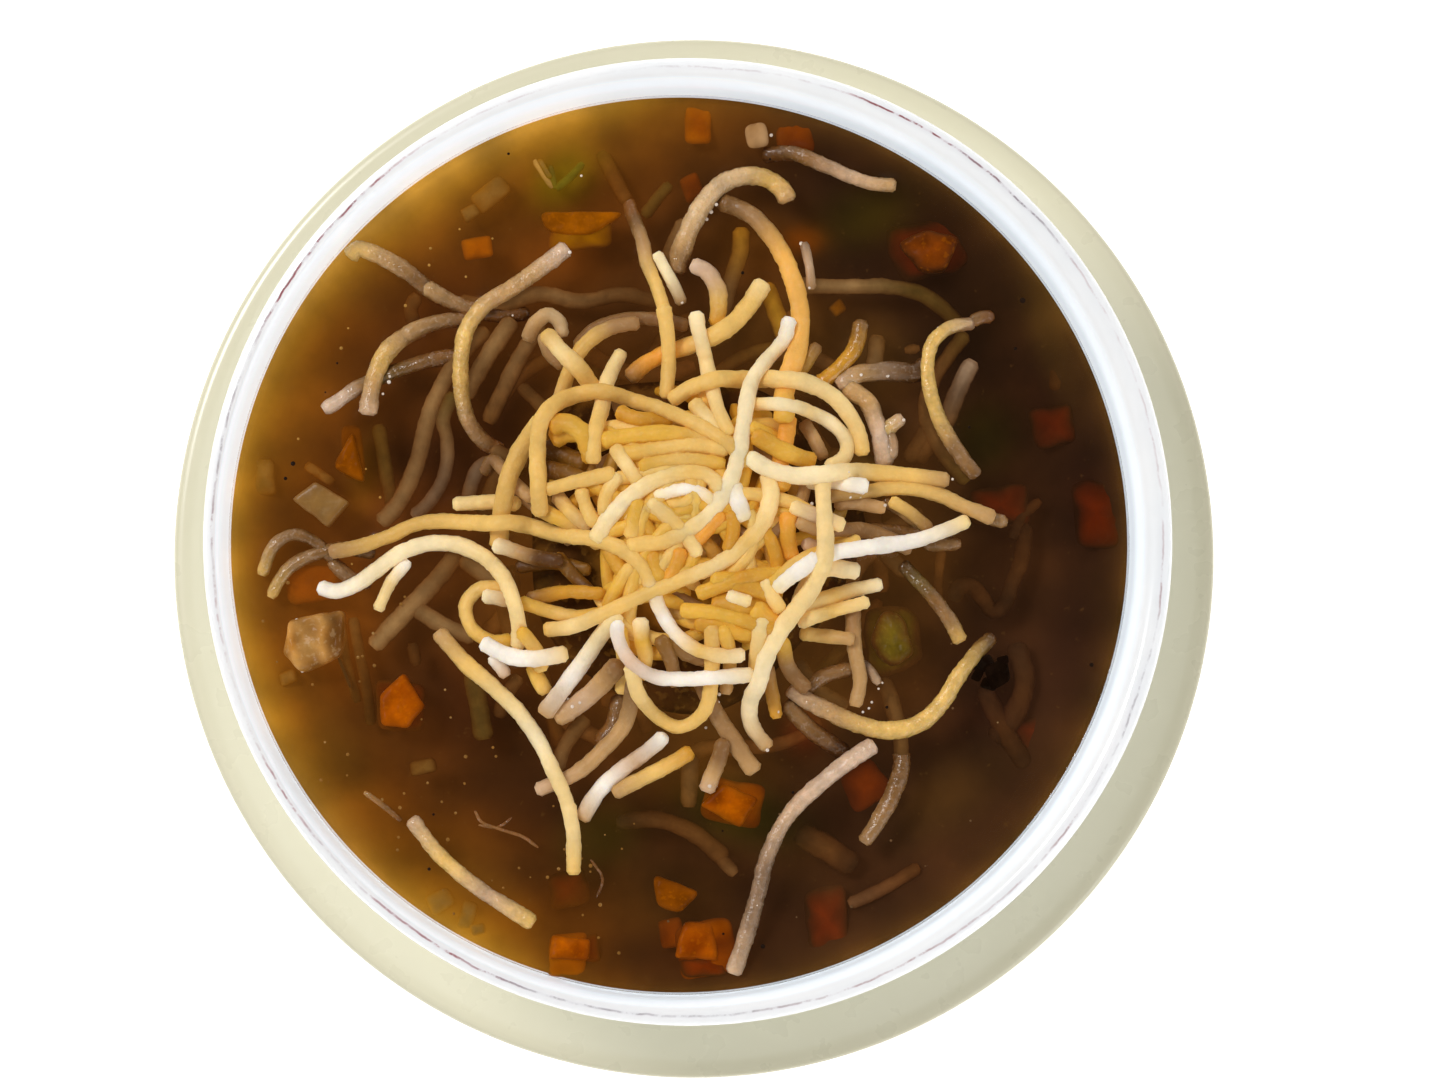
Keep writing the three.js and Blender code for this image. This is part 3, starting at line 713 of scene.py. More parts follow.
def mark(x, y, z, radius):
    """Adds a strand to the heights, and to where things break the soup's surface."""
    row, column, away = cells_round(x, y, radius)
    np.maximum.at(ground, (row, column), z[:, None] + np.sqrt(np.clip(radius ** 2 - away ** 2, 0, None)))
    crossing = np.abs(z - SOUP_TOP) < radius
    if crossing.any():
        x, y, z = x[crossing], y[crossing], z[crossing]
        half = np.sqrt(radius ** 2 - (z - SOUP_TOP) ** 2)
        row, column, away = cells_round(x, y, radius + SHORE_WIDTH)
        np.minimum.at(shore, (row, column), away - half[:, None])


# Noodles

# Noodle tones. The white tone stands partly for painted highlights on the strands, and the last two browns
# are painted shade, for strands down in the dark gaps of the mound.
TONES = {
    "white": (255, 245, 230), "pale": (253, 231, 184), "cream": (248, 215, 148), "gold": (238, 193, 106),
    "honey": (222, 176, 92), "orange": (240, 164, 58), "amber": (214, 152, 44), "tan": (196, 152, 96),
    "pink": (210, 172, 134), "rose": (224, 190, 160), "wet": (166, 124, 76), "grey": (148, 116, 86),
    "brown": (140, 98, 52),
    "dim": (106, 72, 38), "olive": (120, 94, 42), "toast": (230, 177, 64), "leaf": (124, 112, 32),
    "shade": (74, 52, 36), "apricot": (246, 184, 88), "sand": (206, 170, 122), "bronze": (136, 90, 24),
    "earth": (88, 50, 6),
}
SUNK_CLEAR = 0.9
STRAND_WALL_GAP = 0.3
LEAST_THICKNESS = 0.82
SOAK_LOW, SOAK_HIGH, SOAKED_SHADE = 0.2, 1.6, 0.22
SINK_LENGTH = 6.5
STRAND_SIDES = 14
STRAND_STEP = 0.5
END_ROUNDING = ((0.0, 0.62), (0.06, 0.86), (0.2, 0.97))


def tube_faces(rings, sides):
    """Faces of a tube of rings of points, closed by the two points that follow its last ring."""
    faces = []
    for ring in range(rings - 1):
        low, high = ring * sides, (ring + 1) * sides
        for k in range(sides):
            m = (k + 1) % sides
            faces.append((low + k, high + k, high + m, low + m))
    tip, last = rings * sides, (rings - 1) * sides
    for k in range(sides):
        m = (k + 1) % sides
        faces.append((tip, k, m))
        faces.append((tip + 1, last + m, last + k))
    return faces


def inside_wall(line, radius):
    """A route, drawn in where it would touch the bowl's wall."""
    offset = line - np.array(SOUP_CENTRE)
    reach = np.hypot(*offset.T)
    edge = SOUP_RADIUS - radius - STRAND_WALL_GAP
    drawn_in = SOUP_CENTRE + offset * (edge / np.maximum(reach, 1))[:, None]
    return np.where((reach > edge)[:, None], drawn_in, line)


def round_ends(run, thick):
    """Thickness along a strand, less over its cut ends."""
    for along, share in END_ROUNDING:
        near = (run <= along + 1e-6) | (run >= run[-1] - along - 1e-6)
        thick[near] = np.minimum(thick[near], share)
    return thick


def uneven_thickness(run, seed):
    """Places along a strand, more of them at its ends, and its share of full thickness there."""
    thick = np.array([
        1 + 0.09 * noise.noise(Vector((s * 0.32, seed * 7.3, 0.5)))
        + 0.05 * noise.noise(Vector((s * 1.1, 3.1, seed)))
        for s in run
    ])
    extra = np.array([along for along, _ in END_ROUNDING[1:]])
    at = np.unique(np.concatenate([run, extra, run[-1] - extra]))
    thick = round_ends(at, np.interp(at, run, round_ends(run, thick)))
    inner = (at > extra[-1]) & (at < run[-1] - extra[-1])
    thick[inner] = np.maximum(thick[inner], LEAST_THICKNESS)
    return at, thick


def tube(centre, run, reach, sides, radius, seed):
    """Points of a blistered tube round a line, its two ends last, and the outward directions."""
    ahead = np.gradient(centre, axis=0)
    ahead /= np.maximum(np.linalg.norm(ahead, axis=1), 1e-9)[:, None]
    side = np.cross(ahead, (0.0, 0.0, 1.0))
    side /= np.maximum(np.linalg.norm(side, axis=1), 1e-9)[:, None]
    up = np.cross(side, ahead)
    angle = np.linspace(0, 2 * math.pi, sides, endpoint=False)
    turn = 0.07 * np.cos(2 * angle[None, :] + seed + 0.12 * run[:, None])
    outward = side[:, None, :] * np.cos(angle)[None, :, None] + up[:, None, :] * np.sin(angle)[None, :, None]
    points = centre[:, None, :] + outward * (reach[:, None] * (1 + turn))[..., None]
    points, outward = points.reshape(-1, 3), outward.reshape(-1, 3)
    blister = np.array([
        0.08 * noise.noise(Vector(p) * 0.6) + 0.1 * noise.noise(Vector(p) * 2.1) for p in points.tolist()
    ])
    points = points + outward * (blister * radius)[:, None]
    return np.concatenate([points, centre[:1], centre[-1:]]), outward


def strand_paint(run, tones, sides, seed):
    """Colours along a strand, one for each point of its tube."""
    stops = np.array([linear(*TONES[name]) for name in tones.split()])
    base = read_off(run / run[-1] * (len(stops) - 1), np.arange(len(stops)), stops)
    patch = np.array([1 + 0.12 * noise.noise(Vector((s * 0.25, 9.1, seed * 3.7))) for s in run])
    base = np.repeat(base * patch[:, None], sides, axis=0)
    return np.concatenate([base, base[:1], base[-1:]])


def strand(shape, route, radius, tones, heights=None, float_height=0.3, seed=0, sides=STRAND_SIDES,
           step=STRAND_STEP, wetness=0.0, sunk=False, dip=0.0, sink=(0.0, 0.0)):
    """One noodle: an uneven, blistered tube with cut ends along a route seen from above."""
    x, y = inside_wall(smooth_line(route, step), radius).T
    if heights is None:
        z = lay(x, y, radius, float_height)
        z = z - dip * (1 - np.sin(np.linspace(0, math.pi, len(z)))) ** 2
    else:
        z = SOUP_TOP + spread(heights, len(x))
    path = np.concatenate([[0], np.cumsum(np.hypot(np.diff(x), np.diff(y)))])
    z = z - sink[0] * (1 - smooth_step(0, SINK_LENGTH, path))
    z = z - sink[1] * smooth_step(-SINK_LENGTH, 0, path - path[-1])
    mark(x, y, z, radius)
    centre = np.stack([x, y, z], axis=1)
    run = run_along(centre)
    at, thick = uneven_thickness(run, seed)
    centre = read_off(at, run, centre)
    points, outward = tube(centre, at, radius * thick, sides, radius, seed)
    base = strand_paint(at, tones, sides, seed)
    soak = 1 - smooth_step(SOAK_LOW, SOAK_HIGH, points[:, 2] - SOUP_TOP)
    base = base * (1 - SOAKED_SHADE * (soak * (points[:, 2] > SOUP_TOP - 0.5)))[:, None]
    if sunk:
        facing_up = np.append(np.clip(outward[:, 2], 0, 1), (0, 0)) ** 0.8
        clear = (SUNK_CLEAR * facing_up)[:, None]
        base = soup_tone(points[:, 0], points[:, 1]) * (1 - clear) + base * clear
    wet = np.clip(wetness + soak * 0.8, 0, 1)
    shape.add(points, tube_faces(len(centre), sides), murk(points, base), wet)


# Tones of the filling strands, from the bottom of the mound to its top: darker low down, partly as soaked
# noodle and partly as painted shade deep in the mound
LOW_TONES = ("brown amber brown", "wet toast brown", "amber brown amber", "tan brown wet")
MIDDLE_TONES = ("toast amber toast", "amber toast", "toast toast amber")
HIGH_TONES = ("gold toast gold", "toast gold", "gold gold toast")

# Dark gaps in the mound that no filling strand crosses: place and radius
HOLES = (
    (-15, -4.6, 3.6), (-19.5, -5, 3.2), (-16.6, 10.8, 2.6), (16.8, 12.6, 3.2), (-14.5, 16.8, 2.2),
    (18.5, -18, 3.4), (-6.4, 15.8, 1.4), (4.6, 18, 1.4), (23, 3, 1.6), (1.5, -8.2, 1.2),
)


def clear_of_holes(route):
    """The longest stretch of a route that keeps out of the dark gaps."""
    line = smooth_line(route, 1.0)
    free = np.ones(len(line), bool)
    for x, y, radius in HOLES:
        free &= np.hypot(line[:, 0] - x, line[:, 1] - y) > radius
    ends = [-1, *np.flatnonzero(~free), len(line)]
    start, stop = max(zip(ends, ends[1:]), key=lambda pair: pair[1] - pair[0])
    return line[start + 1:stop:2]


def filler_strands(shape, count=50, seed=5):
    """Long loops and arcs low in the mound, between and under the strands that show."""
    rng = random.Random(seed)
    for number in range(count):
        turn = 2.4 * number
        away = 13 * math.sqrt((number * 0.618) % 1)
        bend = rng.uniform(5.5, 11.5) if number % 3 else rng.uniform(14, 26)
        sweep = (rng.uniform(2.2, 4.4) if number % 3 else rng.uniform(18, 32) / bend) * rng.choice((-1, 1))
        start = rng.uniform(0, 2 * math.pi)
        lean = rng.uniform(0, math.pi)
        squash = rng.uniform(0.55, 1.0)
        turns = [start + sweep * t for t in np.linspace(0, 1, 9)]
        loop = np.array([(bend * math.cos(t), bend * squash * math.sin(t)) for t in turns])
        lean_by = np.array(((math.cos(lean), -math.sin(lean)), (math.sin(lean), math.cos(lean))))
        loop = (loop - (loop.mean(axis=0) if number % 3 == 0 else 0)) @ lean_by.T
        route = clear_of_holes(loop + np.array((away * math.cos(turn), away * math.sin(turn))))
        if len(route) < 4:
            continue
        kinds = (LOW_TONES, MIDDLE_TONES, HIGH_TONES)[min(2, 3 * number // count)]
        strand(shape, route, rng.uniform(0.85, 1.0), rng.choice(kinds), float_height=-0.5, seed=number + 200,
               sides=10, step=0.8, dip=2.4)


# Tones of the strands deep in the soup
FAINT_TONES = ("olive brown", "brown dim", "wet brown", "brown olive brown", "dim wet")
# Dark stretches of soup beside the mound with no strands in them: place and radius
CLEAR_SOUP = ((-27, 20, 4), (-26, 8, 4), (-34, -18, 6), (24.5, 14, 2.5), (36, -4, 4))


def faint_strands(shape, count=30, seed=11):
    """Strands deep in the soup round the mound, of which only a haze shows."""
    rng = random.Random(seed)
    for number in range(count):
        turn = 2.4 * number
        away = rng.uniform(19, 33)
        x, y = away * math.cos(turn), away * math.sin(turn)
        if any(math.hypot(x - cx, y - cy) < radius for cx, cy, radius in (*HOLES, *CLEAR_SOUP)):
            continue
        heading = turn + math.pi / 2 + rng.uniform(-0.9, 0.9)
        half = rng.uniform(3.5, 7.5)
        bow = rng.uniform(-2.2, 2.2)
        along = np.array((math.cos(heading), math.sin(heading)))
        across = np.array((-along[1], along[0]))
        route = [
            np.array((x, y)) + half * t * along + bow * (1 - t * t) * across
            for t in (-1, -0.5, 0, 0.5, 1)
        ]
        deep = rng.uniform(2.1, 3.0)
        heights = (-deep - 0.5, -deep, -deep - 0.5)
        strand(shape, route, rng.uniform(0.95, 1.2), rng.choice(FAINT_TONES), heights, seed=number + 300,
               sides=10, step=0.8, wetness=0.3, sunk=True)


# Strands that lie in the soup with only their tops out, or just under its surface:
# colours along them, radius, heights of the middle line over the soup, and the route
SUNK = [
    ("tan wet brown dim", 1.08, (-0.3, -0.9, -1.5, -2.4),
     [(-35.5, 34), (-32, 32), (-29.5, 31), (-26, 30.3), (-21.5, 30.5)]),
    ("tan wet brown", 1.15, (-0.4, -1.0, -1.6), [(-38.4, 27.2), (-36, 28.4), (-32.5, 29.4), (-28, 29.6)]),
    ("rose rose wet olive", 1.1, (-0.1, -0.3, -0.8, -1.3),
     [(-49, 17.2), (-46.8, 18.6), (-44, 20.6), (-41.5, 21.6)]),
    ("olive brown brown", 1.05, (-1.0, -0.9, -1.4),
     [(-42.5, 21.2), (-38.5, 22.9), (-34.5, 24.1), (-30.5, 24.8)]),
    ("wet wet wet tan wet brown", 1.15, (-1.15, -1.2, -1.3, -1.3, -1.6),
     [(-41.4, 2), (-39.2, 4.4), (-37.5, 7.5), (-36.2, 11), (-35.3, 15), (-34.2, 18.5), (-32.4, 22),
      (-30, 25.5), (-27, 28.2)]),
    ("wet wet tan wet", 1.2, (-1.4, -1.3, -1.4),
     [(-30.2, 19), (-28.4, 22.2), (-26.4, 25.6), (-23.6, 29.6)]),
    ("brown wet wet", 1.15, (-1.5, -1.4), [(-27, 15.6), (-24.6, 20.6), (-22.6, 24.6), (-19.8, 29)]),
    ("dim brown dim", 1.0, (-1.5, -1.2, -1.6), [(-22.6, 20.6), (-19.6, 17.6), (-17, 13.6)]),
    ("grey grey wet olive", 1.05, (-1.4, -1.3, -1.2, -1.2),
     [(-37, 2.9), (-34.8, 4.9), (-33.1, 7.7), (-32.4, 10.6), (-32.5, 13.6), (-33, 16), (-31.6, 19.6)]),
    ("brown grey grey", 1.05, (-1.3, -1.2, -1.15),
     [(-29.7, 4.6), (-29.2, 7.2), (-28.2, 9.4), (-26.6, 10.6)]),
    ("wet brown brown", 1.05, (-1.2, -1.3, -1.5), [(-26.4, 12.2), (-24.4, 11), (-21.6, 10.2)]),
    ("brown wet dim", 1.1, (-1.6, -1.3, -1.9),
     [(-31, 32), (-26, 31.5), (-20, 33), (-14.5, 32), (-9, 33), (-4, 32)]),
    ("brown dim", 1.0, (-1.8, -2.2), [(-36.5, 33), (-37.5, 31), (-37, 29)]),
    ("olive olive dim", 1.05, (-2.2, -2.0, -2.2), [(-41.8, 15.4), (-40.8, 10), (-39.8, 4)]),
    ("honey wet brown brown", 0.9, (-0.6, -0.3, -0.7, -0.8),
     [(-57.2, -5), (-55.5, -1), (-53, 0.5), (-50, -0.5), (-47.5, -3)]),
    ("honey wet brown brown", 0.9, (-0.5, -0.6, -0.8),
     [(-56, -8), (-54, -4.5), (-51, -2.5), (-46.5, -1.4), (-42, -2)]),
    ("wet grey", 1.0, (-0.9, -1.4), [(-48, -3), (-45, -5.5), (-42.5, -6)]),
    ("tan tan wet brown", 1.25, (-1.3, -1.3, -1.3, -1.5),
     [(-42.3, -14.6), (-39, -11), (-36, -8), (-33.3, -5), (-31, -2)]),
    ("wet tan wet", 1.15, (-1.3, -1.2, -1.2), [(-36.6, -9.4), (-33, -11.6), (-28.6, -13.4)]),
    ("brown tan", 1.2, (-1.3, -1.2), [(-30.4, -2.6), (-27, -5), (-23.6, -6.6)]),
    ("dim dim", 0.9, (-1.8, -2.4), [(-37, -14), (-36.5, -17)]),
    ("brown dim shade", 0.8, (-1.7, -2.2, -2.9), [(-45, -10.6), (-44.2, -15), (-43.2, -20), (-42.6, -25)]),
    ("brown shade", 0.7, (-1.8, -2.6), [(-46.6, -11), (-46, -16), (-44.4, -22)]),
    ("olive olive", 1.3, (-1.7, -1.7), [(-29, -17), (-28.3, -21), (-27.3, -27)]),
    ("olive brown brown", 0.95, (-3.4, -2.9, -2.3), [(-12, 53), (-10.2, 49.4), (-8.2, 45.4)]),
    ("gold tan", 0.45, (-1.2, -1.2), [(-20.8, 51.2), (-19.6, 49.3), (-18.3, 47.4)]),
    ("leaf leaf", 0.6, (-1.2, -1.2), [(-17.8, 47.2), (-16, 48.8), (-14.2, 50.8)]),
    ("leaf olive", 0.5, (-1.2, -1.2), [(-17.9, 47.3), (-18.4, 49.2), (-18.6, 50.4)]),
    ("olive olive", 0.9, (-1.6, -1.9), [(-2.4, 48), (-4.2, 46), (-6, 43.6)]),
    ("wet brown", 1.1, (-1.2, -1.6), [(-0.5, 43), (-2, 39.5), (-3.2, 36.5)]),
    ("amber brown wet", 1.15, (-1.5, -1.2, -1.2), [(7.2, 42), (7, 38.6), (5.8, 35), (4.6, 31), (3.6, 27)]),
    ("amber amber toast", 1.2, (-1.35, -1.2, -1.2), [(10.4, 34.4), (11.8, 30.6), (13.6, 26)]),
    ("wet tan olive olive", 1.15, (-1.3, -1.3, -1.6, -2.2),
     [(14, 34.2), (20, 34), (27, 34), (31.5, 33), (34.5, 31), (36.5, 28.8)]),
    ("brown amber amber", 1.2, (-0.6, -0.3, 0.0), [(23.4, 29.4), (22.4, 25.6), (20.2, 22.8), (17.5, 20.6)]),
    ("brown wet", 1.3, (-1.5, -1.25), [(25.5, 27.4), (25.2, 24.4), (24.8, 21.4)]),
    ("brown brown", 0.7, (-1.5, -1.3), [(29.2, 25.4), (31.2, 25.7)]),
    ("dim dim grey tan pink", 1.25, (-1.2, -0.9, -0.5, 0.0),
     [(32.4, 24), (31, 22.5), (26.6, 22.5), (22.6, 22), (20, 20.5)]),
    ("tan tan rose pink", 1.2, (0.1, 0.1, 0.0, -0.5),
     [(21, 20.4), (24, 18.4), (25.4, 15), (26, 12), (26.6, 9.6)]),
    ("gold pink", 1.0, (-0.4, 0.0), [(26, 13.6), (27.2, 15), (28.9, 16.2)]),
    ("wet pink", 0.9, (-0.4, -0.2), [(26.8, 14.4), (27.4, 12.6), (27.2, 10.6)]),
    ("olive brown brown brown olive", 1.1, (-1.9, -1.6, -1.5, -1.4, -1.6),
     [(37.4, 27.8), (35, 24.5), (32.8, 21), (32, 17), (33.2, 13.6), (35.4, 10.2), (37.6, 7.6)]),
    ("pink grey brown dim", 1.25, (-1.2, -1.4, -1.8, -2.5),
     [(38.4, 24), (37, 21.4), (35.6, 18), (33.6, 14), (30.4, 10.6)]),
    ("brown dim", 1.2, (-1.7, -2.2), [(33.6, 16.6), (31.6, 13.4), (29.6, 10.4)]),
    ("tan brown", 0.85, (-1.0, -1.6), [(38, 29.2), (39.6, 29.9), (41.2, 30)]),
    ("wet brown brown", 1.1, (-0.9, -1.0, -1.3), [(20, 0.8), (26, 1), (32, 0.4)]),
    ("wet wet", 0.9, (-0.6, -0.9), [(31.6, -0.9), (34, -0.9), (36.6, -0.7)]),
    ("tan wet", 1.05, (-0.4, -0.8), [(40.2, 2.7), (42.8, 2.1)]),
    ("wet tan olive", 1.05, (-0.4, -0.3, -1.0), [(26, 5.4), (28.8, 3.8), (32, 1.4)]),
    ("brown dim", 0.7, (-2.2, -2.8), [(34.1, -1.4), (33.8, -4.4), (33.6, -8)]),
    ("dim brown brown", 1.1, (-1.7, -1.3, -1.15), [(25.8, -1), (27.6, -3), (29.4, -4.8)]),
    ("dim brown brown brown", 1.1, (-2.0, -1.3, -1.2, -1.15),
     [(26.2, -18.8), (27.4, -22.4), (28.4, -26.4), (28.6, -29.6)]),
    ("pink grey", 0.7, (-0.3, -0.8), [(25.6, -19.6), (24.6, -18), (23.4, -16.6)]),
    ("wet brown dim", 1.25, (-0.9, -1.2, -2.0), [(13, -22), (16.4, -25.6), (21.4, -29)]),
    ("shade brown brown", 1.2, (-2.3, -2.2, -2.0), [(-9.6, -38), (-4, -37.7), (1, -39.6), (5, -43)]),
    ("brown wet", 0.9, (-1.9, -1.4), [(4, -42.4), (6.4, -45)]),
    ("shade brown shade", 1.6, (-2.6, -2.5, -2.9), [(14.6, -39.4), (18, -41.2), (22.4, -44)]),
    ("grey brown", 0.9, (-2.0, -2.4), [(21.5, -49), (26, -47), (31, -44)]),
    ("shade dim shade dim shade", 1.1, (-2.5, -2.4, -2.5, -2.6, -3.0),
     [(35.6, -8.4), (36.4, -6.6), (38, -6.3), (39.6, -8), (41, -9.8), (42.6, -8.8), (43.6, -6), (45, -2.6),
      (45.4, 2)]),
    ("shade dim", 0.8, (-2.2, -2.6), [(43.6, 0), (45, 3), (47.4, 5.2)]),
    ("shade dim shade", 1.3, (-2.6, -2.5, -2.8), [(39.6, -20), (42.6, -26), (45.6, -30.6)]),
    ("shade dim shade", 1.4, (-2.5, -2.4, -2.8), [(44, -14), (45.2, -19), (43.6, -24), (41, -27)]),
    ("dim dim dim", 1.3, (-2.9, -2.9, -3.1), [(47, 32), (49.4, 26), (50, 20)]),
    ("wet brown", 1.15, (-1.0, -1.5), [(-9, -21), (-10, -25), (-12, -27.5)]),
    ("wet wet", 0.24, (-1.0, -1.0), [(-28.5, -36.5), (-27.6, -38), (-25, -39), (-22, -40), (-20, -41.4)]),
    ("wet brown", 0.2, (-1.0, -1.2), [(-28, -38.4), (-25.4, -38.7), (-23.6, -37.4)]),
    ("tan wet brown", 0.42, (-0.8, -0.8, -1.2), [(-43.3, -34), (-41, -35.6), (-38.4, -37.8)]),
    ("wet brown", 0.2, (-1.0, -1.4), [(-13, -43), (-11.4, -45.6), (-12.2, -48)]),
    ("shade shade", 0.3, (-1.15, -1.2), [(-46.8, -16), (-46, -18), (-45.2, -20)]),
    ("brown brown", 1.15, (-1.2, -1.6), [(0.4, -29), (0.2, -32.6), (0.1, -36)]),
    ("brown wet", 1.1, (-1.3, -1.3), [(-13.6, -24), (-16.4, -27.6), (-17.6, -31)]),
    ("brown dim", 1.1, (-1.5, -1.9), [(-22.6, -18.4), (-24.6, -21.4), (-25.4, -24)]),
    ("brown wet", 1.1, (-1.0, -1.2), [(15.6, -20.6), (18.4, -18.4), (22.4, -17.4)]),
    ("dim brown", 1.1, (-1.4, -1.4), [(14.6, -16.6), (17.6, -20.4), (21.4, -22.6)]),
    ("brown dim", 1.1, (-1.5, -1.8), [(24, -1.4), (27.4, 1.6), (31.6, 3.4)]),
    ("dim brown", 1.1, (-1.6, -1.4), [(-27.6, 3), (-25.6, 8.4), (-22.4, 12)]),
]

